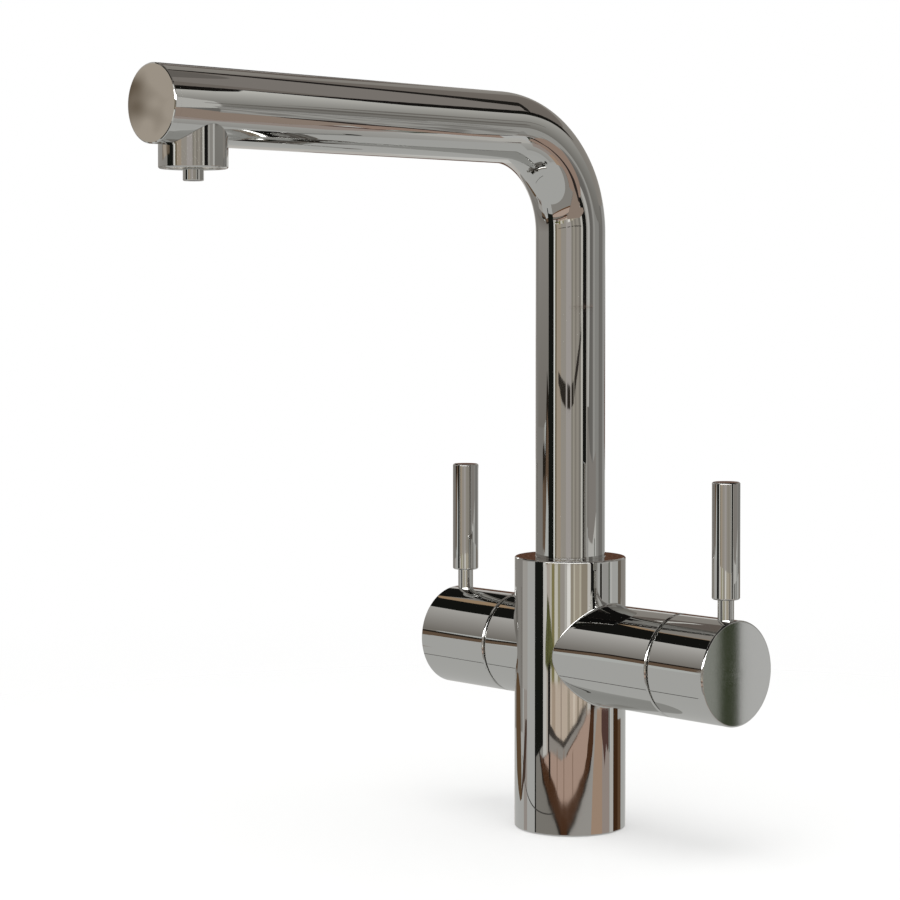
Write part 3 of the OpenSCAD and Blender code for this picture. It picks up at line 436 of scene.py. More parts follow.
# Levers. Turned brass, polished and chromed. A thin rod is screwed into the top of each cap, and a thicker
# grip with bevelled ends sits on it, bored a hair wider than the rod.
ROD_R, THREAD_R, GRIP_R, GRIP_Z, GRIP_LEN, ROD_TOP = 3.5, 3.0, 6.0, 110.2, 49.6, 129.2
THREAD_FOOT, THREAD_TOP, FIT = 88.75, 99.75, 0.05
for side, body, name, x in (("mixer", "mixer_lever", "hot_cold", LEVER_IN - MIXER_END),
                            ("filter", "filter_lever", "filter", FILTER_END - LEVER_IN)):
    rod = [(0, THREAD_FOOT), (THREAD_R, THREAD_FOOT), (THREAD_R, THREAD_TOP), (ROD_R, THREAD_TOP),
           (ROD_R, ROD_TOP), (0, ROD_TOP)]
    made(name + "_rod", [spun(rounded(rod), (x, 0, 0), Z, X, Y)], body, [side + "_lever_rod"])
    grip = [(0, ROD_TOP + FIT), (ROD_R + FIT, ROD_TOP + FIT), (ROD_R + FIT, GRIP_Z), (GRIP_R - EDGE, GRIP_Z),
            (GRIP_R, GRIP_Z + EDGE), (GRIP_R, GRIP_Z + GRIP_LEN - EDGE), (GRIP_R - EDGE, GRIP_Z + GRIP_LEN),
            (0, GRIP_Z + GRIP_LEN)]
    made(name + "_grip", [spun(rounded(grip), (x, 0, 0), Z, X, Y)], body, [side + "_lever_grip"])

# Spout tube. Drawn brass tube of 31.2 mm, bent once on a mandrel to a centre line of 45 mm, polished and
# chromed. A round hole under the arm takes the outlet's neck.
TUBE_R, TUBE_IN_R, FOOT_Z, BEND_Z, BEND_R, ARM_END, OUT_Y = 15.6, 14.2, 101.5, 266.75, 45.0, 227.0, -210.0
ARM_Z = BEND_Z + BEND_R
UPRIGHT, ARC = BEND_Z - FOOT_Z, BEND_R * math.pi / 2


def tube(radius, sign):
    """Tube round a path of length b: up, a quarter turn of BEND_R, then along -Y. At a turn w of the bend
    the centre is (-BEND_R (1 - cos w), BEND_R sin w) in (y, z), and the ring about it is
    r * (x cos a + (y cos w + z sin w) sin a)."""
    def at(a, b):
        w = np.clip((b - UPRIGHT) / BEND_R, 0, math.pi / 2)
        y = -BEND_R * (1 - np.cos(w)) - np.maximum(b - UPRIGHT - ARC, 0)
        z = FOOT_Z + np.minimum(b, UPRIGHT) + BEND_R * np.sin(w)
        n = np.stack([np.cos(a), np.sin(a) * np.cos(w), np.sin(a) * np.sin(w)], axis=-1)
        return np.stack([0 * a, y, z], axis=-1) + radius * n, sign * n
    return at


# Lengths along the path to the arm and to the outlet, and the patch of the grid that the neck's hole takes up
ARM_START = UPRIGHT + ARC
OUTLET_AT = ARM_START - OUT_Y - BEND_R
NECK_HOLE_R, NECK_PATCH, NECK_PATCH_LEN = 12.05, 1.3, 14.0
near, far = OUTLET_AT - NECK_PATCH_LEN, OUTLET_AT + NECK_PATCH_LEN
turn = np.radians(np.linspace(-270, 90, 217))
path = np.concatenate([np.linspace(0, UPRIGHT, 8)[:-1], np.linspace(UPRIGHT, ARM_START, 73)[:-1],
                       np.linspace(ARM_START, near, 8)[:-1], np.linspace(near, far, 21)[:-1],
                       [far, ARM_START + ARM_END - BEND_R]])
down = -math.pi / 2
shells = []
for radius, sign in ((TUBE_R, 1), (TUBE_IN_R, -1)):
    grids, spins = pierced(turn, path, tube(radius, sign), [
        ((down - NECK_PATCH, down + NECK_PATCH, near, far), (down, OUTLET_AT), (radius, 1),
         round_hole(NECK_HOLE_R, radius, down, OUTLET_AT))])
    shells.append((grids, spins[0]))
rims = []
for row, direction in ((0, -Z), (-1, -Y)):
    ends = [grids[0][0][row] for grids, _ in shells]
    rims.append((np.stack(ends), np.broadcast_to(direction, (2, len(turn), 3))))
lips = [grids[1][0][0] for grids, _ in shells]
towards = np.stack([(OUT_Y * Y - lip) * (1, 1, 0) for lip in lips])
rims.append((np.stack(lips), towards / np.linalg.norm(towards, axis=-1, keepdims=True)))
made("spout_bent_tube", [g for grids, _ in shells for g in grids] + rims, "spout", ["spout_tube"])

# End cap. A turned brass disc with a hollow spigot, brazed into the end of the arm and faced off, so that
# only a fine bevel shows round it. Its face keeps the lathe's rings.
DISC_T, SPIGOT_END, SPIGOT_R, SPIGOT_IN_R, BEVEL_MID = 3.0, 7.0, 14.15, 11.7, 0.15
plug = [(0, DISC_T), (SPIGOT_IN_R, DISC_T), (SPIGOT_IN_R, SPIGOT_END), (SPIGOT_R, SPIGOT_END),
        (SPIGOT_R, DISC_T), (TUBE_R, DISC_T), (TUBE_R, EDGE), (TUBE_R - BEVEL_MID, BEVEL_MID),
        (TUBE_R - EDGE, 0), (0, 0)]
plug_turns = np.radians(np.linspace(0, 360, 217))
points, normals = spun(rounded(plug, 0.02), (0, -ARM_END - DISC_T, ARM_Z), Y, X, Z, plug_turns)
face = np.zeros((points.shape[0] - 1, points.shape[1] - 1), bool)
face[-1] = True
made("arm_end_disc", [(points, -normals, ~face), (points, -normals, face, 1)], "spout", ["spout_end_cap"],
     materials=(CHROME_PLATE, turned_chrome("turned_chrome_arm_end", (0, 0, ARM_Z), 1)))

# Outlet. A short turned housing, coped to the arm and brazed under it. Three spokes across its neck carry
# the hub of the filtered water nozzle, a thin chromed tube that ends below the aerator.
OUT_R, OUT_Z, WEB_Z, NECK_TOP, SADDLE_R = 13.65, 287.3, 296.5, 300.0, 15.65
THROAT_R, THROAT_IN_R, THROAT_LEN, AERATOR_R = 12.0, 9.5, 3.0, 10.8
HUB_R, HUB_IN_R, SPOKE_HALF_W, SPOKE_HALF_H, SPOKE_ROOT = 6.0, 4.15, 1.25, 1.7, 0.2
housing_rows = [(THROAT_IN_R, NECK_TOP), (THROAT_IN_R, WEB_Z), (AERATOR_R, WEB_Z), (AERATOR_R, OUT_Z),
                (OUT_R - EDGE, OUT_Z), (OUT_R, OUT_Z + EDGE), (OUT_R, OUT_Z + 2)]
shell = spun(rounded(housing_rows), (0, OUT_Y, 0), Z, X, Y)


def saddle(radius):
    """Ring of the coped top: it keeps SADDLE_R from the arm's axis, z = ARM_Z - sqrt(SADDLE_R^2 - x^2)."""
    x, y = radius * np.cos(FULL), radius * np.sin(FULL)
    return np.stack([x, OUT_Y + y, ARM_Z - np.sqrt(SADDLE_R ** 2 - x ** 2)], axis=-1)


outward = np.stack([np.cos(FULL), np.sin(FULL), 0 * FULL], axis=-1)
rim, throat = saddle(OUT_R), saddle(THROAT_R)
arm_way = np.stack([throat, rim]) * (-1, 0, -1) + (0, 0, ARM_Z)
throat_rows = [(THROAT_R, NECK_TOP - THROAT_LEN), (THROAT_R, NECK_TOP), (THROAT_IN_R, NECK_TOP)]
neck_top = spun(rounded(throat_rows), (0, OUT_Y, 0), Z, X, Y)
hub_rows = [(HUB_IN_R, NECK_TOP), (HUB_IN_R, WEB_Z), (HUB_R, WEB_Z), (HUB_R, NECK_TOP), (HUB_IN_R, NECK_TOP)]
hub = spun(rounded(hub_rows), (0, OUT_Y, 0), Z, X, Y)
# A spoke is a box from hub to throat: four turns of an outline of radius 1, out to half the width and height
inner, outer = HUB_R - SPOKE_ROOT, THROAT_IN_R + SPOKE_ROOT
spoke_rows = (np.array([[0, inner], [1, inner], [1, outer], [0, outer]]),
              np.array([[0, -1.0], [0.7, -0.7], [0.7, 0.7], [0, 1.0]]))
square = np.radians([45, 135, 225, 315, 405])
spokes = []
for degrees in (90, 210, 330):
    r = np.array([math.cos(math.radians(degrees)), math.sin(math.radians(degrees)), 0])
    spokes.append(spun(spoke_rows, (0, OUT_Y, (WEB_Z + NECK_TOP) / 2), r,
                       np.cross(Z, r) * SPOKE_HALF_W * math.sqrt(2), Z * SPOKE_HALF_H * math.sqrt(2), square))
made("outlet_shell", [
    (np.concatenate([shell[0], rim[None]]), np.concatenate([shell[1], outward[None]])),
    (np.stack([rim, throat]), arm_way[::-1] / SADDLE_R),
    (np.concatenate([throat[None], neck_top[0]]), np.concatenate([outward[None], neck_top[1]])), hub, *spokes,
], "spout", ["outlet_housing"])

# The nozzle's bore, tip and head, and the barb at its side that the hose is pushed on
TIP_Z, TIP_R, TIP_IN_R, TIP_EDGE, HEAD_R, HEAD_TOP = 282.6, 4.1, 2.5, 0.3, 6.0, 317.5
BARB_FOOT_R, BARB_FOOT, BARB_R, BARB_END, BARB_IN_R, BARB_FLOOR = 4.5, (5.0, 6.5), 2.65, 17.0, 1.8, 8.0
nozzle_rows = [(0, ARM_Z), (TIP_IN_R, ARM_Z), (TIP_IN_R, TIP_Z), (TIP_R - TIP_EDGE, TIP_Z),
               (TIP_R, TIP_Z + TIP_EDGE), (TIP_R, NECK_TOP), (HEAD_R, NECK_TOP), (HEAD_R, HEAD_TOP - EDGE),
               (HEAD_R - EDGE, HEAD_TOP), (0, HEAD_TOP)]
barb_rows = [(0, BARB_FOOT[0]), (BARB_FOOT_R, BARB_FOOT[0]), (BARB_FOOT_R, BARB_FOOT[1]),
             (BARB_R, BARB_FOOT[1]), (BARB_R, BARB_END - EDGE), (BARB_R - EDGE, BARB_END),
             *bored(BARB_END, (BARB_IN_R, BARB_FLOOR))]
made("filtered_water_tip", [
    spun(rounded(nozzle_rows, 0.1), (0, OUT_Y, 0), Z, X, Y),
    spun(rounded(barb_rows, 0.1), (0, OUT_Y, ARM_Z), Y, Z, X),
], "spout", ["filter_nozzle"])


# Inner pieces. They keep the solids' own shapes and only get what they are made of: turned or stamped
# metal, moulded plastic, ground alumina discs, black EPDM rings and the milky silicone hose that keeps the
# filtered water apart.
def stock(name, colour, metal, rough, grain, depth, **more):
    """Uneven gloss, rough to 1.5 rough, and a fine shallow grain of so many spots to the metre."""
    m = fresh(name)
    place = add(m, "TexCoord").outputs["Object"]
    patches = add(m, "TexNoise", {"Scale": grain / 12, "Detail": 3.0}, Vector=place).outputs["Fac"]
    gloss = add(m, "MapRange", {"From Min": 0.3, "From Max": 0.7, "To Min": rough, "To Max": rough * 1.5},
                Value=patches)
    fine = add(m, "TexNoise", {"Scale": grain, "Detail": 2.0}, Vector=place).outputs["Fac"]
    bump = add(m, "Bump", {"Strength": depth, "Distance": 0.0001}, Height=fine)
    shader = add(m, "BsdfPrincipled", {"Base Color": linear(colour), "Metallic": metal, **more},
                 Roughness=gloss.outputs["Result"], Normal=bump.outputs["Normal"])
    return finish_with(m, shader)


STOCK = {
    "polished_chrome": CHROME_PLATE,
    "turned_brass": stock("cut_brass", "#C6A667", 1.0, 0.22, 1800, 0.15),
    "stainless_steel": stock("bright_stainless", "#B4B3AF", 1.0, 0.20, 1500, 0.10),
    "acetal": stock("natural_acetal", "#E4E1D8", 0.0, 0.35, 900, 0.08),
    "cartridge_plastic": stock("grey_moulded_ppo", "#8E9194", 0.0, 0.40, 900, 0.10),
    "ceramic": stock("ground_alumina", "#EDE9DE", 0.0, 0.18, 2500, 0.05),
    "rubber": stock("black_epdm", "#1A1A1A", 0.0, 0.50, 1200, 0.20),
    "silicone": stock("milky_silicone", "#D9DAD6", 0.0, 0.30, 700, 0.05,
                      **{"Transmission Weight": 0.35, "IOR": 1.41}),
}
for piece in nodes.values():
    for slot in piece.material_slots:
        if slot.material and slot.material.name.split(".")[0] in STOCK:
            slot.material = STOCK[slot.material.name.split(".")[0]]


# Studio. A pale floor that fades into the white background, a soft box above, and plain cards that only
# the chrome sees: a curtained window in front, pale walls with dark flags at the sides, a pale table top
# below. Chrome gives back 0.63 of their light, and SEEN makes up for the rest.
SEEN = 1.58


def glow(name, colour, upper=None, heights=(0, 1), mottle=None, power=1):
    """Even light, or light that changes from colour to upper between two heights, or mottled with another
    colour in spots of 3 cm. Power makes it brighter than its colour."""
    m = fresh(name)
    m.cycles.emission_sampling = "NONE"
    light = add(m, "Emission", {"Color": linear(colour), "Strength": SEEN * power})
    place = add(m, "TexCoord").outputs["Object"] if upper or mottle else None
    if upper:
        height = add(m, "SeparateXYZ", {}, _0=place).outputs["Z"]
        low, high = heights
        share = add(m, "MapRange", {"From Min": low, "From Max": high}, Value=height).outputs["Result"]
    if mottle:
        spots = add(m, "TexNoise", {"Scale": 32.0, "Detail": 2.0}, Vector=place).outputs["Fac"]
        share = add(m, "MapRange", {"From Min": 0.44, "From Max": 0.58}, Value=spots).outputs["Result"]
    if place:
        blend = add(m, "Mix", {"data_type": "RGBA", 6: linear(colour), 7: linear(upper or mottle)}, _0=share)
        m.node_tree.links.new(blend.outputs[2], light.inputs["Color"])
    return finish_with(m, light)


def only_reflected(thing):
    """Only gloss sees it, so it lights nothing and hides nothing."""
    thing.visible_camera = thing.visible_diffuse = thing.visible_shadow = False
    thing.visible_transmission = thing.visible_volume_scatter = False


def plain(name, points, faces, material):
    """Object of points in metres and faces, with one material."""
    mesh = bpy.data.meshes.new(name)
    mesh.from_pydata(points.tolist(), [], faces.tolist())
    mesh.materials.append(material)
    thing = bpy.data.objects.new(name, mesh)
    bpy.context.scene.collection.objects.link(thing)
    return thing


def ribbon(name, points, material):
    """Card between two rows of points: each cell joins two neighbours of one row to the two of the other."""
    n = points.shape[1]
    i = np.arange(n - 1)
    cells = np.stack([i, i + 1, i + 1 + n, i + n], axis=1)
    only_reflected(plain(name, points.reshape(-1, 3), cells, material))


FACING, LAYER = -42.9, 0.002


def card(name, columns, colour, far=0.6, layer=1, **more):
    """Upright card round the tap's axis: far * (cos, sin) of the turn. Its columns give the turn in degrees
    to the right of the camera's side, the lower and the upper height. Upper layers hang 2 mm nearer."""
    columns = np.array(columns, float)
    turns = np.linspace(columns[0, 0], columns[-1, 0], 3 + int(columns[-1, 0] - columns[0, 0]))
    turns = np.union1d(turns, columns[:, 0])
    h = np.stack([np.interp(turns, columns[:, 0], columns[:, i]) for i in (1, 2)])
    a, reach = np.radians(turns + FACING), far - LAYER * layer
    if more.get("upper"):
        more["heights"] = (columns[:, 1].min(), columns[:, 2].max())
    points = np.stack(np.broadcast_arrays(reach * np.cos(a), reach * np.sin(a), h), axis=-1)
    ribbon(name, points, glow(name, colour, **more))


def band(name, turn, height, colour, **more):
    """Card of even height between two turns."""
    card(name, [(turn[0], *height), (turn[1], *height)], colour, **more)


def side_by_side(start, height, strips):
    """Bands at the window, each from where the last one ends."""
    for name, end, colour in strips:
        band(name, (start, end), height, colour, far=WINDOW)
        start = end


def level(name, height, reach, turn, colour):
    """Flat card at a height, between two distances from the axis and two turns."""
    a = np.radians(np.linspace(turn[0], turn[1], 3 + int(turn[1] - turn[0]) // 4) + FACING)
    r = np.array(reach)[:, None]
    points = np.stack(np.broadcast_arrays(r * np.cos(a), r * np.sin(a), height), axis=-1)
    ribbon(name, points, glow(name, colour))


def board(name, corners, height, colour, **more):
    """Level board with the given corners (x, y) at a height, in millimetres."""
    points = np.array([(x, y, height) for x, y in corners]) * 0.001
    only_reflected(plain(name, points, np.arange(len(corners))[None], glow(name, colour, **more)))


# The room: a far wall all round, nearer walls at the left, right and back, ceiling and table top
CEILING, BELOW, WINDOW = 1.35, -0.75, 3.0
band("far_wall", (-180, 180), (BELOW, CEILING), "#84827E", far=3.1)
band("left_wall", (-180, -79.3), (0, CEILING), "#7D7974", far=0.62)
band("right_wall", (53, 180), (0, CEILING), "#7D7974", far=0.62)
level("ceiling", CEILING, (0.0, 3.1), (-180, 180), "#5F5B57")
level("ceiling_dark", CEILING - 0.01, (0.75, 2.2), (-75, 20), "#0F0F0E")
level("table_top", BELOW, (0.0, 3.1), (-180, 180), "#9E9E9C")
level("table_in_front", BELOW + 0.01, (1.35, 3.09), (-60, 56), "#7F7C78")
card("table_left", [(-180, BELOW, 0.02), (-130, BELOW, 0.06), (-105, BELOW, 0.09), (-79.3, BELOW, 0.10)],
     "#9E9E9C", far=0.62, layer=2)
card("table_right", [(54, BELOW, 0.08), (104, BELOW, 0.08), (130, BELOW, 0.02), (180, BELOW, 0.0)], "#9C9C9A",
     far=0.62, layer=2)

# The window in front, seen from the spout's tube: curtain folds, 3 m away, and the dark V of their tie backs
MID = -0.20
side_by_side(-60, (MID, CEILING), (
    ("fold_bright", -54.5, "#C8C8C4"),
    ("fold_olive", -49.5, "#5C533F"),
    ("fold_tan", -34, "#94897B"),
    ("fold_beige", -17, "#8D8881"),
    ("fold_pink", 0, "#989390"),
    ("fold_olive_grey", 6, "#7E7A72"),
    ("fold_pale", 11, "#918C83"),
    ("fold_dusk", 17, "#7C7770"),
    ("fold_grey", 25, "#8B867E"),
    ("fold_shade", 32, "#75716B"),
    ("fold_white", 38.3, "#B2B0AA"),
    ("frame_black_right", 51, "#151513"),
    ("frame_pale_right", 58, "#96948F"),
))
for name, columns in (
    ("tie_back_left", [(-43, 0.10, 0.125), (-30, 0.075, 0.11), (-18, 0.063, 0.10)]),
    ("tie_back_mid", [(-13, 0.062, 0.10), (-3, 0.060, 0.095)]),
    ("tie_back_fold", [(1, 0.064, 0.099), (8, 0.070, 0.105)]),
    ("tie_back_right", [(10, 0.078, 0.113), (16, 0.10, 0.135), (25, 0.14, 0.165), (33.5, 0.18, 0.20)]),
):
    card(name, columns, "#2A2622", far=WINDOW, layer=2)
band("window_sky", (-56, 38), (0.62, 1.34), "#FFFFFF", far=2.95, power=4)
card("flag_left", [(-79.7, -0.3, CEILING), (-76.6, -0.3, CEILING), (-76.5, -0.15, CEILING),
                   (-59.5, -0.14, CEILING)], "#141512", far=1.0)

# The same window's lower part, seen from the body
side_by_side(-60, (BELOW, MID), (
    ("pane_bright", -52, "#B4B2AE"),
    ("pane_pink", -45, "#A09890"),
    ("pane_beige", -41, "#ABA79C"),
    ("pane_olive", -35, "#77704C"),
    ("pane_white", -28, "#B7B4AA"),
    ("pane_moss", -23, "#85806A"),
    ("pane_grey", -14, "#8F8A84"),
    ("pane_light", -9, "#A6A39E"),
    ("pane_sun", -2, "#D2D0CC"),
    ("pane_fold", 4, "#8A8376"),
    ("pane_fold_light", 7, "#B0AA9C"),
    ("pane_fold_tan", 16, "#968E80"),
    ("pane_fold_pale", 20, "#A8A294"),
    ("pane_fold_deep", 33, "#857D70"),
    ("pane_edge", 40, "#B4B1AC"),
    ("pane_black", 50.5, "#161614"),
    ("pane_right", 58, "#8E8C88"),
))
card("leaves", [(-55, -0.37, -0.34), (-50, -0.38, -0.25), (-44, -0.375, -0.29), (-36, -0.37, -0.35)],
     "#5F603A", far=WINDOW, layer=2, mottle="#38391F")
for name, turn, colour in (
    ("bright_folds", (-45, 31), "#B0A294"),
    ("folds_left", (-40, -33), "#9C8C7C"),
    ("folds_gap", (-22, -20), "#8E7F72"),
    ("folds_shade", (-8, -3), "#948879"),
    ("folds_light", (3, 8), "#C0B4A6"),
    ("folds_right", (12, 15), "#8C8070"),
    ("folds_last", (22, 26), "#948878"),
):
    band(name, turn, (-0.62, -0.40), colour, far=WINDOW, layer=2 if name == "bright_folds" else 3)
card("mullion", [(-49, -0.54, -0.37), (-44, -0.50, -0.36)], "#1A1917", far=WINDOW, layer=4)
card("sill_line", [(-46, -0.56, -0.47), (-16, -0.56, -0.50), (31, -0.48, -0.435)], "#3A3632", far=WINDOW,
     layer=4)
card("sill", [(-46, -0.56, -0.485), (-16, -0.56, -0.512), (31, -0.48, -0.445)], "#85807B", far=WINDOW,
     layer=5)
card("edge_brown", [(-80, BELOW, -0.50), (-61, BELOW, -0.525), (-44, BELOW, -0.515), (-16, BELOW, -0.53),
                    (31, BELOW, -0.455), (48, BELOW, -0.44)], "#432C1D", far=WINDOW, layer=6)
card("boards", [(-57, -0.532, -0.525), (-43, -0.555, -0.515), (-30, -0.58, -0.523), (-21, -0.602, -0.528),
                (-8, -0.602, -0.52), (9, -0.58, -0.493), (23.5, -0.553, -0.468), (31.6, -0.524, -0.455),
                (39, -0.46, -0.448)], "#9E877A", far=WINDOW, layer=7)
for name, turn, low in (
    ("board_gap_one", (-30, -28.5), -0.58),
    ("board_gap_two", (-16, -14.5), -0.602),
    ("board_gap_three", (2, 3.5), -0.585),
):
    card(name, [(turn[0], low, -0.52), (turn[1], low, -0.51)], "#7D675A", far=WINDOW, layer=8)
card("mullion_foot", [(-47, -0.556, -0.515), (-43.5, -0.566, -0.515)], "#2A211B", far=WINDOW, layer=8)
card("table_edge_left", [(-80, BELOW, -0.515), (-72, BELOW, -0.50), (-61, BELOW, -0.565), (-49, BELOW, -0.60),
                         (-35, BELOW, -0.632), (-22, BELOW, -0.664), (-14, BELOW, BELOW + 0.01)], "#74716C",
     far=WINDOW, layer=9)
card("table_edge_right", [(-14, BELOW, BELOW + 0.01), (-9, BELOW, -0.664), (8, BELOW, -0.632),
                          (21, BELOW, -0.60), (34, BELOW, -0.565), (41.4, BELOW, -0.532),
                          (46, BELOW, -0.50), (48, BELOW, -0.44), (58, BELOW, -0.44)], "#8F8C88",
     far=WINDOW, layer=9)
for name, columns in (
    ("outline_left", [(-72, -0.50), (-61, -0.565), (-49, -0.60), (-35, -0.632), (-22, -0.664), (-17, -0.70)]),
    ("outline_right", [(-12, -0.70), (-9, -0.664), (8, -0.632), (21, -0.60), (34, -0.565), (41.4, -0.532)]),
):
    card(name, [(turn, h - 0.004, h + 0.012) for turn, h in columns], "#17130F", far=WINDOW, layer=8)
card("boards_right", [(41, -0.66, -0.66), (46, -0.72, -0.54), (52, -0.74, -0.47), (58, -0.74, -0.44)],
     "#96806F", far=WINDOW, layer=10)

# The left wall, 0.6 m away: pale strips for the upright parts, the table's far edge, and a black flag above
for name, turn, height, colour in (
    ("edge_pale_left", (-180, -160), (-0.13, 0.34), "#A5A29E"),
    ("strip_pink_left", (-158, -103), (0.059, 0.36), "#73706C"),
    ("strip_light_left", (-97, -79.3), (0.059, 0.16), "#A6A8A6"),
    ("strip_tan_left", (-103, -97), (0.059, 0.16), "#7C7872"),
    ("body_grey_left", (-160, -117), (-0.06, 0.059), "#7A7773"),
    ("body_light_left", (-117, -100), (-0.03, 0.059), "#96938F"),
    ("body_pink_left", (-112, -101), (-0.13, -0.03), "#8C8580"),
    ("body_line_left", (-124, -119), (-0.03, 0.04), "#57504A"),
):
    band(name, turn, height, colour)
card("wall_glow_left", [(-135, 0.15, 0.60), (-100, 0.15, 0.63), (-79.3, 0.16, 0.66)], "#6C6863",
     upper="#ACAAA7", layer=2)
card("rail_brown", [(-106, 0.066, 0.13), (-98, 0.066, 0.138), (-94, 0.062, 0.125), (-90, 0.090, 0.15),
                    (-86, 0.118, 0.185), (-79.3, 0.094, 0.168)], "#5C4C3E", layer=3)
card("rail_dark", [(-106, 0.11, 0.135), (-98, 0.118, 0.142), (-94, 0.105, 0.13), (-90, 0.13, 0.155),
                   (-86, 0.165, 0.19), (-79.3, 0.148, 0.172)], "#241F1A", layer=4)
card("flag_up_left", [(-145, 0.46, 0.58), (-140, 0.47, 0.64), (-134, 0.49, 0.79), (-126, 0.50, 0.81),
                      (-116, 0.53, 0.86), (-104, 0.612, 0.92), (-92, 0.605, 0.96), (-79.3, 0.60, 0.98)],
     "#121210", layer=3)
card("flag_edge_tan", [(-147, 0.56, 0.63), (-141, 0.58, 0.66), (-138, 0.62, 0.72), (-134.5, 0.785, 0.81),
                       (-125, 0.805, 0.82), (-113, 0.87, 0.88)], "#8E7860", layer=4)
card("flag_far_left", [(-172, 0.33, 0.54), (-160, 0.40, 0.60), (-147, 0.46, 0.57)], "#121210", layer=3)
card("line_light_up", [(-172, 0.655, 0.67), (-162, 0.71, 0.73), (-146, 0.87, 0.89), (-138, 0.95, 0.965)],
     "#BDBCB8", layer=4)
card("wall_up_back", [(-180, 0.60, 0.86), (-150, 0.66, 0.86), (-136, 0.85, 0.86)], "#5A534E", layer=2)
card("brown_back_left", [(-180, 0.12, 0.27), (-166, 0.13, 0.21)], "#4E372B", layer=3)
card("brown_back_right", [(150, 0.14, 0.18), (164, 0.12, 0.26), (180, 0.12, 0.27)], "#4E372B", layer=3)
card("brown_low_left", [(-150, -0.06, -0.02), (-144, -0.088, -0.02), (-136, -0.10, -0.02),
                        (-127, -0.108, -0.03), (-121, -0.106, -0.09)], "#54422F", layer=3)
card("brown_low_inner", [(-121, -0.107, -0.10), (-113, -0.095, -0.075), (-107, -0.09, -0.05),
                         (-102, -0.06, -0.05)], "#43342C", layer=3)
# A thin dark line along the barrels, level with the base
board("table_line", [(-176, -80.4), (22, -68.9), (22, -66.1), (-176, -77.6)], 0, "#3C3A37")

# The right wall, 0.6 m away
for name, turn, height, colour in (
    ("strip_dark_right", (56.5, 73), (0.059, 0.30), "#63615E"),
    ("strip_mid_right", (73, 77), (0.059, 0.30), "#6E6C69"),
    ("strip_light_right", (77, 84), (0.059, 0.30), "#8F8E8B"),
    ("strip_grey_right", (84, 104), (0.059, 0.30), "#807F7C"),
    ("strip_far_right", (104, 128), (0.059, 0.34), "#696764"),
    ("strip_pale_right", (128, 158), (0.059, 0.34), "#868583"),
    ("edge_pale_right", (158, 180), (-0.13, 0.34), "#B2B1AE"),
    ("body_black_right", (59.5, 65), (0.02, 0.059), "#34332F"),
    ("body_light_right", (66, 81), (0.027, 0.059), "#8E8D8A"),
    ("body_line_right", (81, 83), (-0.03, 0.059), "#6A6864"),
    ("body_tan_right", (112, 125), (-0.03, 0.059), "#5E574E"),
    ("low_boards_right", (53, 66), (-0.20, -0.04), "#96806F"),
    ("low_pink_right", (66, 85), (-0.20, -0.04), "#8C817B"),
    ("mid_pink_right", (60, 74), (-0.04, 0.027), "#8A776C"),
    ("low_white_right", (87, 96), (-0.13, -0.04), "#A8A6A2"),
    ("low_dark_right", (96.5, 112), (-0.13, -0.04), "#3A2616"),
    ("low_rust_right", (112, 125), (-0.13, -0.05), "#54402F"),
):
    layer = 1 if name.startswith(("strip", "edge")) else 3
    band(name, turn, height, colour, layer=layer)
card("low_brown_right", [(64, -0.056, -0.04), (68, -0.066, -0.04), (72, -0.08, -0.04), (76, -0.064, -0.04),
                         (80, -0.07, -0.04), (85, -0.062, -0.04)], "#4C3833", layer=4)
band("band_dark_right", (84.25, 85.5), (-0.07, 0.074), "#262D18", layer=5)
band("band_left_right", (82.4, 84.25), (-0.07, 0.074), "#7A7C76", layer=5)
band("band_pale_right", (85.5, 89), (-0.07, 0.074), "#A8A8A7", layer=5)
card("rail_right", [(58, 0.075, 0.155), (64, 0.072, 0.135), (75, 0.07, 0.125), (90, 0.09, 0.135)],
     "#7A7672", layer=3)
card("table_far_right", [(58, -0.05, 0.077), (64, -0.05, 0.074), (75, -0.05, 0.072), (92, -0.05, 0.092)],
     "#A9A8A5", layer=2)
band("table_shade_right", (56, 100), (-0.42, -0.13), "#8A8986", upper="#9A9996", layer=2)
card("wall_shape_right", [(54, 0.165, 0.52), (60, 0.165, 0.52), (63, 0.24, 0.42)], "#A8A7A4", layer=4)
card("wall_glow_right", [(60, 0.30, 0.73), (72, 0.30, 0.75), (80, 0.30, 0.88), (84, 0.30, 0.84),
                         (88, 0.30, 0.76), (92, 0.30, 0.71), (102, 0.30, 0.64), (116, 0.30, 0.56)],
     "#6C6A66", upper="#B8B7B3", layer=2)
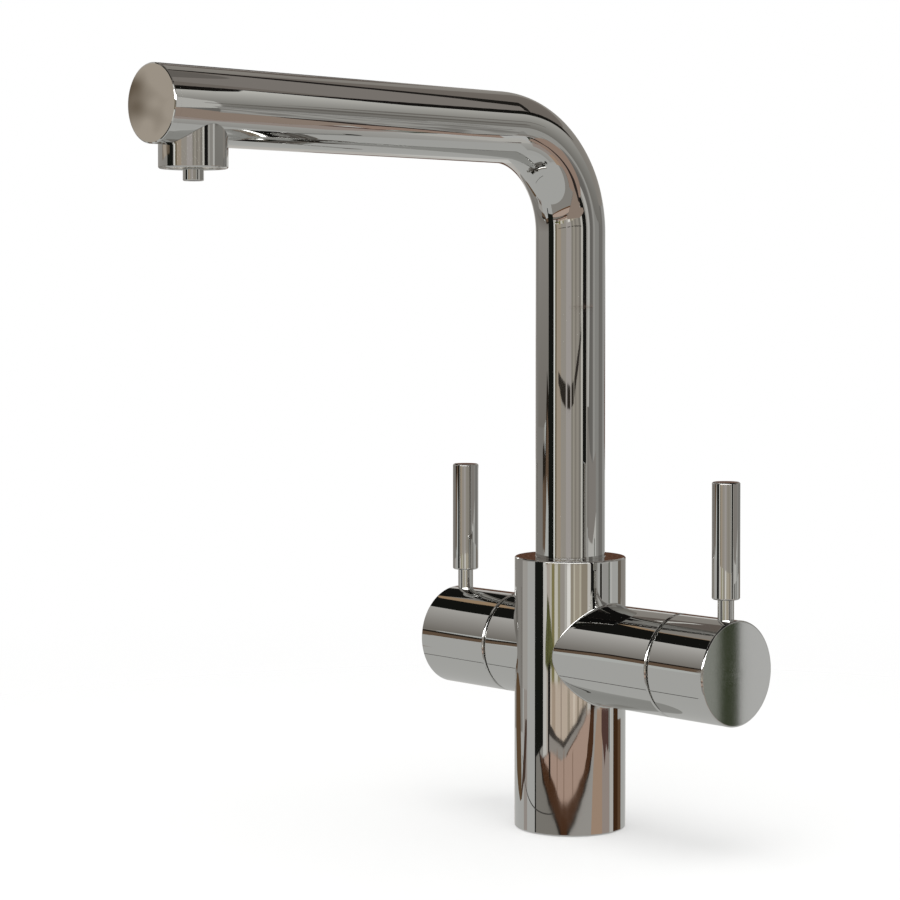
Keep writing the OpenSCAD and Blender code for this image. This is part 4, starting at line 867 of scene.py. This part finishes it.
for name, columns, colour in (
    ("streak_one", [(62, 0.36, 0.37), (70, 0.355, 0.40), (84, 0.36, 0.385)], "#605D59"),
    ("streak_two", [(68, 0.44, 0.445), (76, 0.43, 0.47), (90, 0.44, 0.45)], "#6A6763"),
    ("flag_up_right", [(64, 0.72, 0.92), (72, 0.745, 0.92), (76, 0.79, 0.92), (80, 0.865, 0.90),
                       (83, 0.77, 0.87), (85, 0.70, 0.85), (88, 0.68, 0.83), (92, 0.655, 0.80),
                       (97, 0.632, 0.77), (102, 0.617, 0.74), (108, 0.603, 0.71), (113, 0.585, 0.68),
                       (125, 0.52, 0.60)], "#141311"),
    ("wall_up_right", [(64, 0.90, CEILING), (76, 0.90, CEILING), (80, 0.89, CEILING), (84, 0.85, CEILING),
                       (88, 0.82, CEILING), (92, 0.79, CEILING), (102, 0.73, CEILING), (112, 0.67, CEILING),
                       (125, 0.59, CEILING), (165, 0.60, CEILING)], "#68625D"),
    ("wall_up_between", [(88, 0.83, CEILING), (97, 0.77, CEILING), (103, 0.74, CEILING), (117, 0.92, CEILING),
                         (122, 0.97, CEILING), (138, 1.13, CEILING), (150, 1.22, CEILING)], "#75706C"),
    ("line_up_right", [(103, 0.71, 0.77), (117, 0.87, 0.97), (122, 0.91, 1.02), (130, 0.99, 1.11),
                       (138, 1.07, 1.19), (146, 1.13, 1.25), (156, 1.17, 1.29), (166, 1.22, 1.34)],
     "#1C1A18"),
):
    layer = 7 if name.startswith("line") else 6 if name.endswith("between") else 5
    card(name, columns, colour, layer=layer)

# Shelves near the height of the camera's eye. They hide from all upright surfaces, so that only the arm and
# the bend see their tops, and the right barrel the underside of two of them, painted near black as shade.
BOARD_T = 0.3
board("shelf_pale", [(78, -158), (74, -140), (71, -124), (66, -102), (60, -90), (57, -72), (46, -41),
                     (52, -10), (60, 0), (98, 37), (470, 348), (520, 268), (555, 195), (265, -20)], 286.8,
      "#92918E", mottle="#716F6C")
for name, height, colour, corners in (
    ("shelf_arm", 233.5, "#85776D", [(120, -155), (92, -125), (100, -100), (99, -82), (110, -55), (130, -25),
                                     (152, -8), (190, -22), (224, -12), (234, -28), (345, 25), (400, 30),
                                     (330, -80)]),
    ("shelf_bend", 233.3, "#8A776C", [(163, 95), (104, 56), (102, 31), (106, 16), (110, 5), (113, -8),
                                      (105, -30), (158, -27), (239, 16), (298, 85), (353, 183), (391, 242),
                                      (338, 220)]),
):
    board(name, corners, height, colour)
    # Each underside is the same board painted near black: painted shade.
    board(name + "_underside", corners, height - BOARD_T, "#141312")
board("shelf_line", [(224, -12), (190, -22), (152, -8), (148, 20), (132, 36), (126, 56), (136, 82),
                     (147, 98), (153, 93), (144, 77), (136, 57), (145, 46), (172, 37), (190, 28), (200, 5)],
      233.7, "#2C2624")

# The floor behind the table with its skirting, the table's far edge, and a strip of garden through the window
board("far_boards", [(-900, -2580), (2700, -1220), (2300, -2000), (1600, -2600), (700, -2950), (-300, -3030),
                     (-1000, -2870)], -730, "#A39186")
board("far_edge", [(-950, -2600), (2750, -1200), (2690, -1080), (-1000, -2480)], -728, "#5B3D24")
band("skirting", (-60, 38), (BELOW, -0.70), "#4E4139", far=WINDOW, layer=10)
band("garden", (-76, -57), (0.300, 0.348), "#9A9186", far=0.33, mottle="#5C5144")


def floor_paint():
    """Pale matt board, half clear. It thins out to nothing at 0.8 m and has no edge against the white."""
    m = fresh("pale_floor")
    place = add(m, "TexCoord").outputs["Object"]
    reach = add(m, "VectorMath", {"operation": "LENGTH"}, _0=place)
    span = {"From Min": 0.15, "From Max": 0.8, "To Min": 0.45, "interpolation_type": "SMOOTHSTEP"}
    fade = add(m, "MapRange", span, Value=reach.outputs["Value"])
    matt = add(m, "BsdfDiffuse", {"Color": linear("#F4F4F3")})
    clear = add(m, "BsdfTransparent")
    both = add(m, "MixShader", {}, _0=fade.outputs["Result"], _1=matt.outputs[0], _2=clear.outputs[0])
    return finish_with(m, both)


FLOOR_R, FLOOR_DROP = 0.9, 0.0002
ring = np.radians(np.linspace(0, 360, 129)[:-1])
rim = np.stack([FLOOR_R * np.cos(ring), FLOOR_R * np.sin(ring), 0 * ring - FLOOR_DROP], axis=1)
floor = plain("floor", rim, np.arange(len(rim))[None], floor_paint())
floor.visible_glossy = False

# White for the camera and for what chrome and glass see of it, and a little dimmer as light
world = bpy.data.worlds.new("white_studio")
bpy.context.scene.world = world
world.use_nodes = True
world.node_tree.nodes.clear()
ray = add(world, "LightPath").outputs
seen = add(world, "Math", {"operation": "ADD"}, _0=ray["Is Camera Ray"], _1=ray["Is Glossy Ray"])
clear = add(world, "Math", {"operation": "ADD", "use_clamp": True}, _0=seen.outputs[0],
            _1=ray["Is Transmission Ray"])
soft = add(world, "Background", {"Color": linear("#FFFFFF"), "Strength": 0.8})
white = add(world, "Background", {"Color": linear("#FFFFFF"), "Strength": 1.0})
mixed = add(world, "MixShader", {}, _0=clear.outputs[0], _1=soft.outputs[0], _2=white.outputs[0])
world.node_tree.links.new(mixed.outputs[0], add(world, "OutputWorld").inputs["Surface"])

# Soft box: a round lamp of 1.2 m, 1.5 m up, turned to the tap
box = bpy.data.lights.new("soft_box", "AREA")
box.shape, box.size, box.energy = "DISK", 1.2, 11.0
lamp = bpy.data.objects.new("soft_box", box)
lamp.location = (0.2, -0.3, 1.5)
lamp.rotation_euler = Vector((0.2, -0.35, 1.5)).to_track_quat("Z", "Y").to_euler()
lamp.visible_glossy = False
bpy.context.scene.collection.objects.link(lamp)
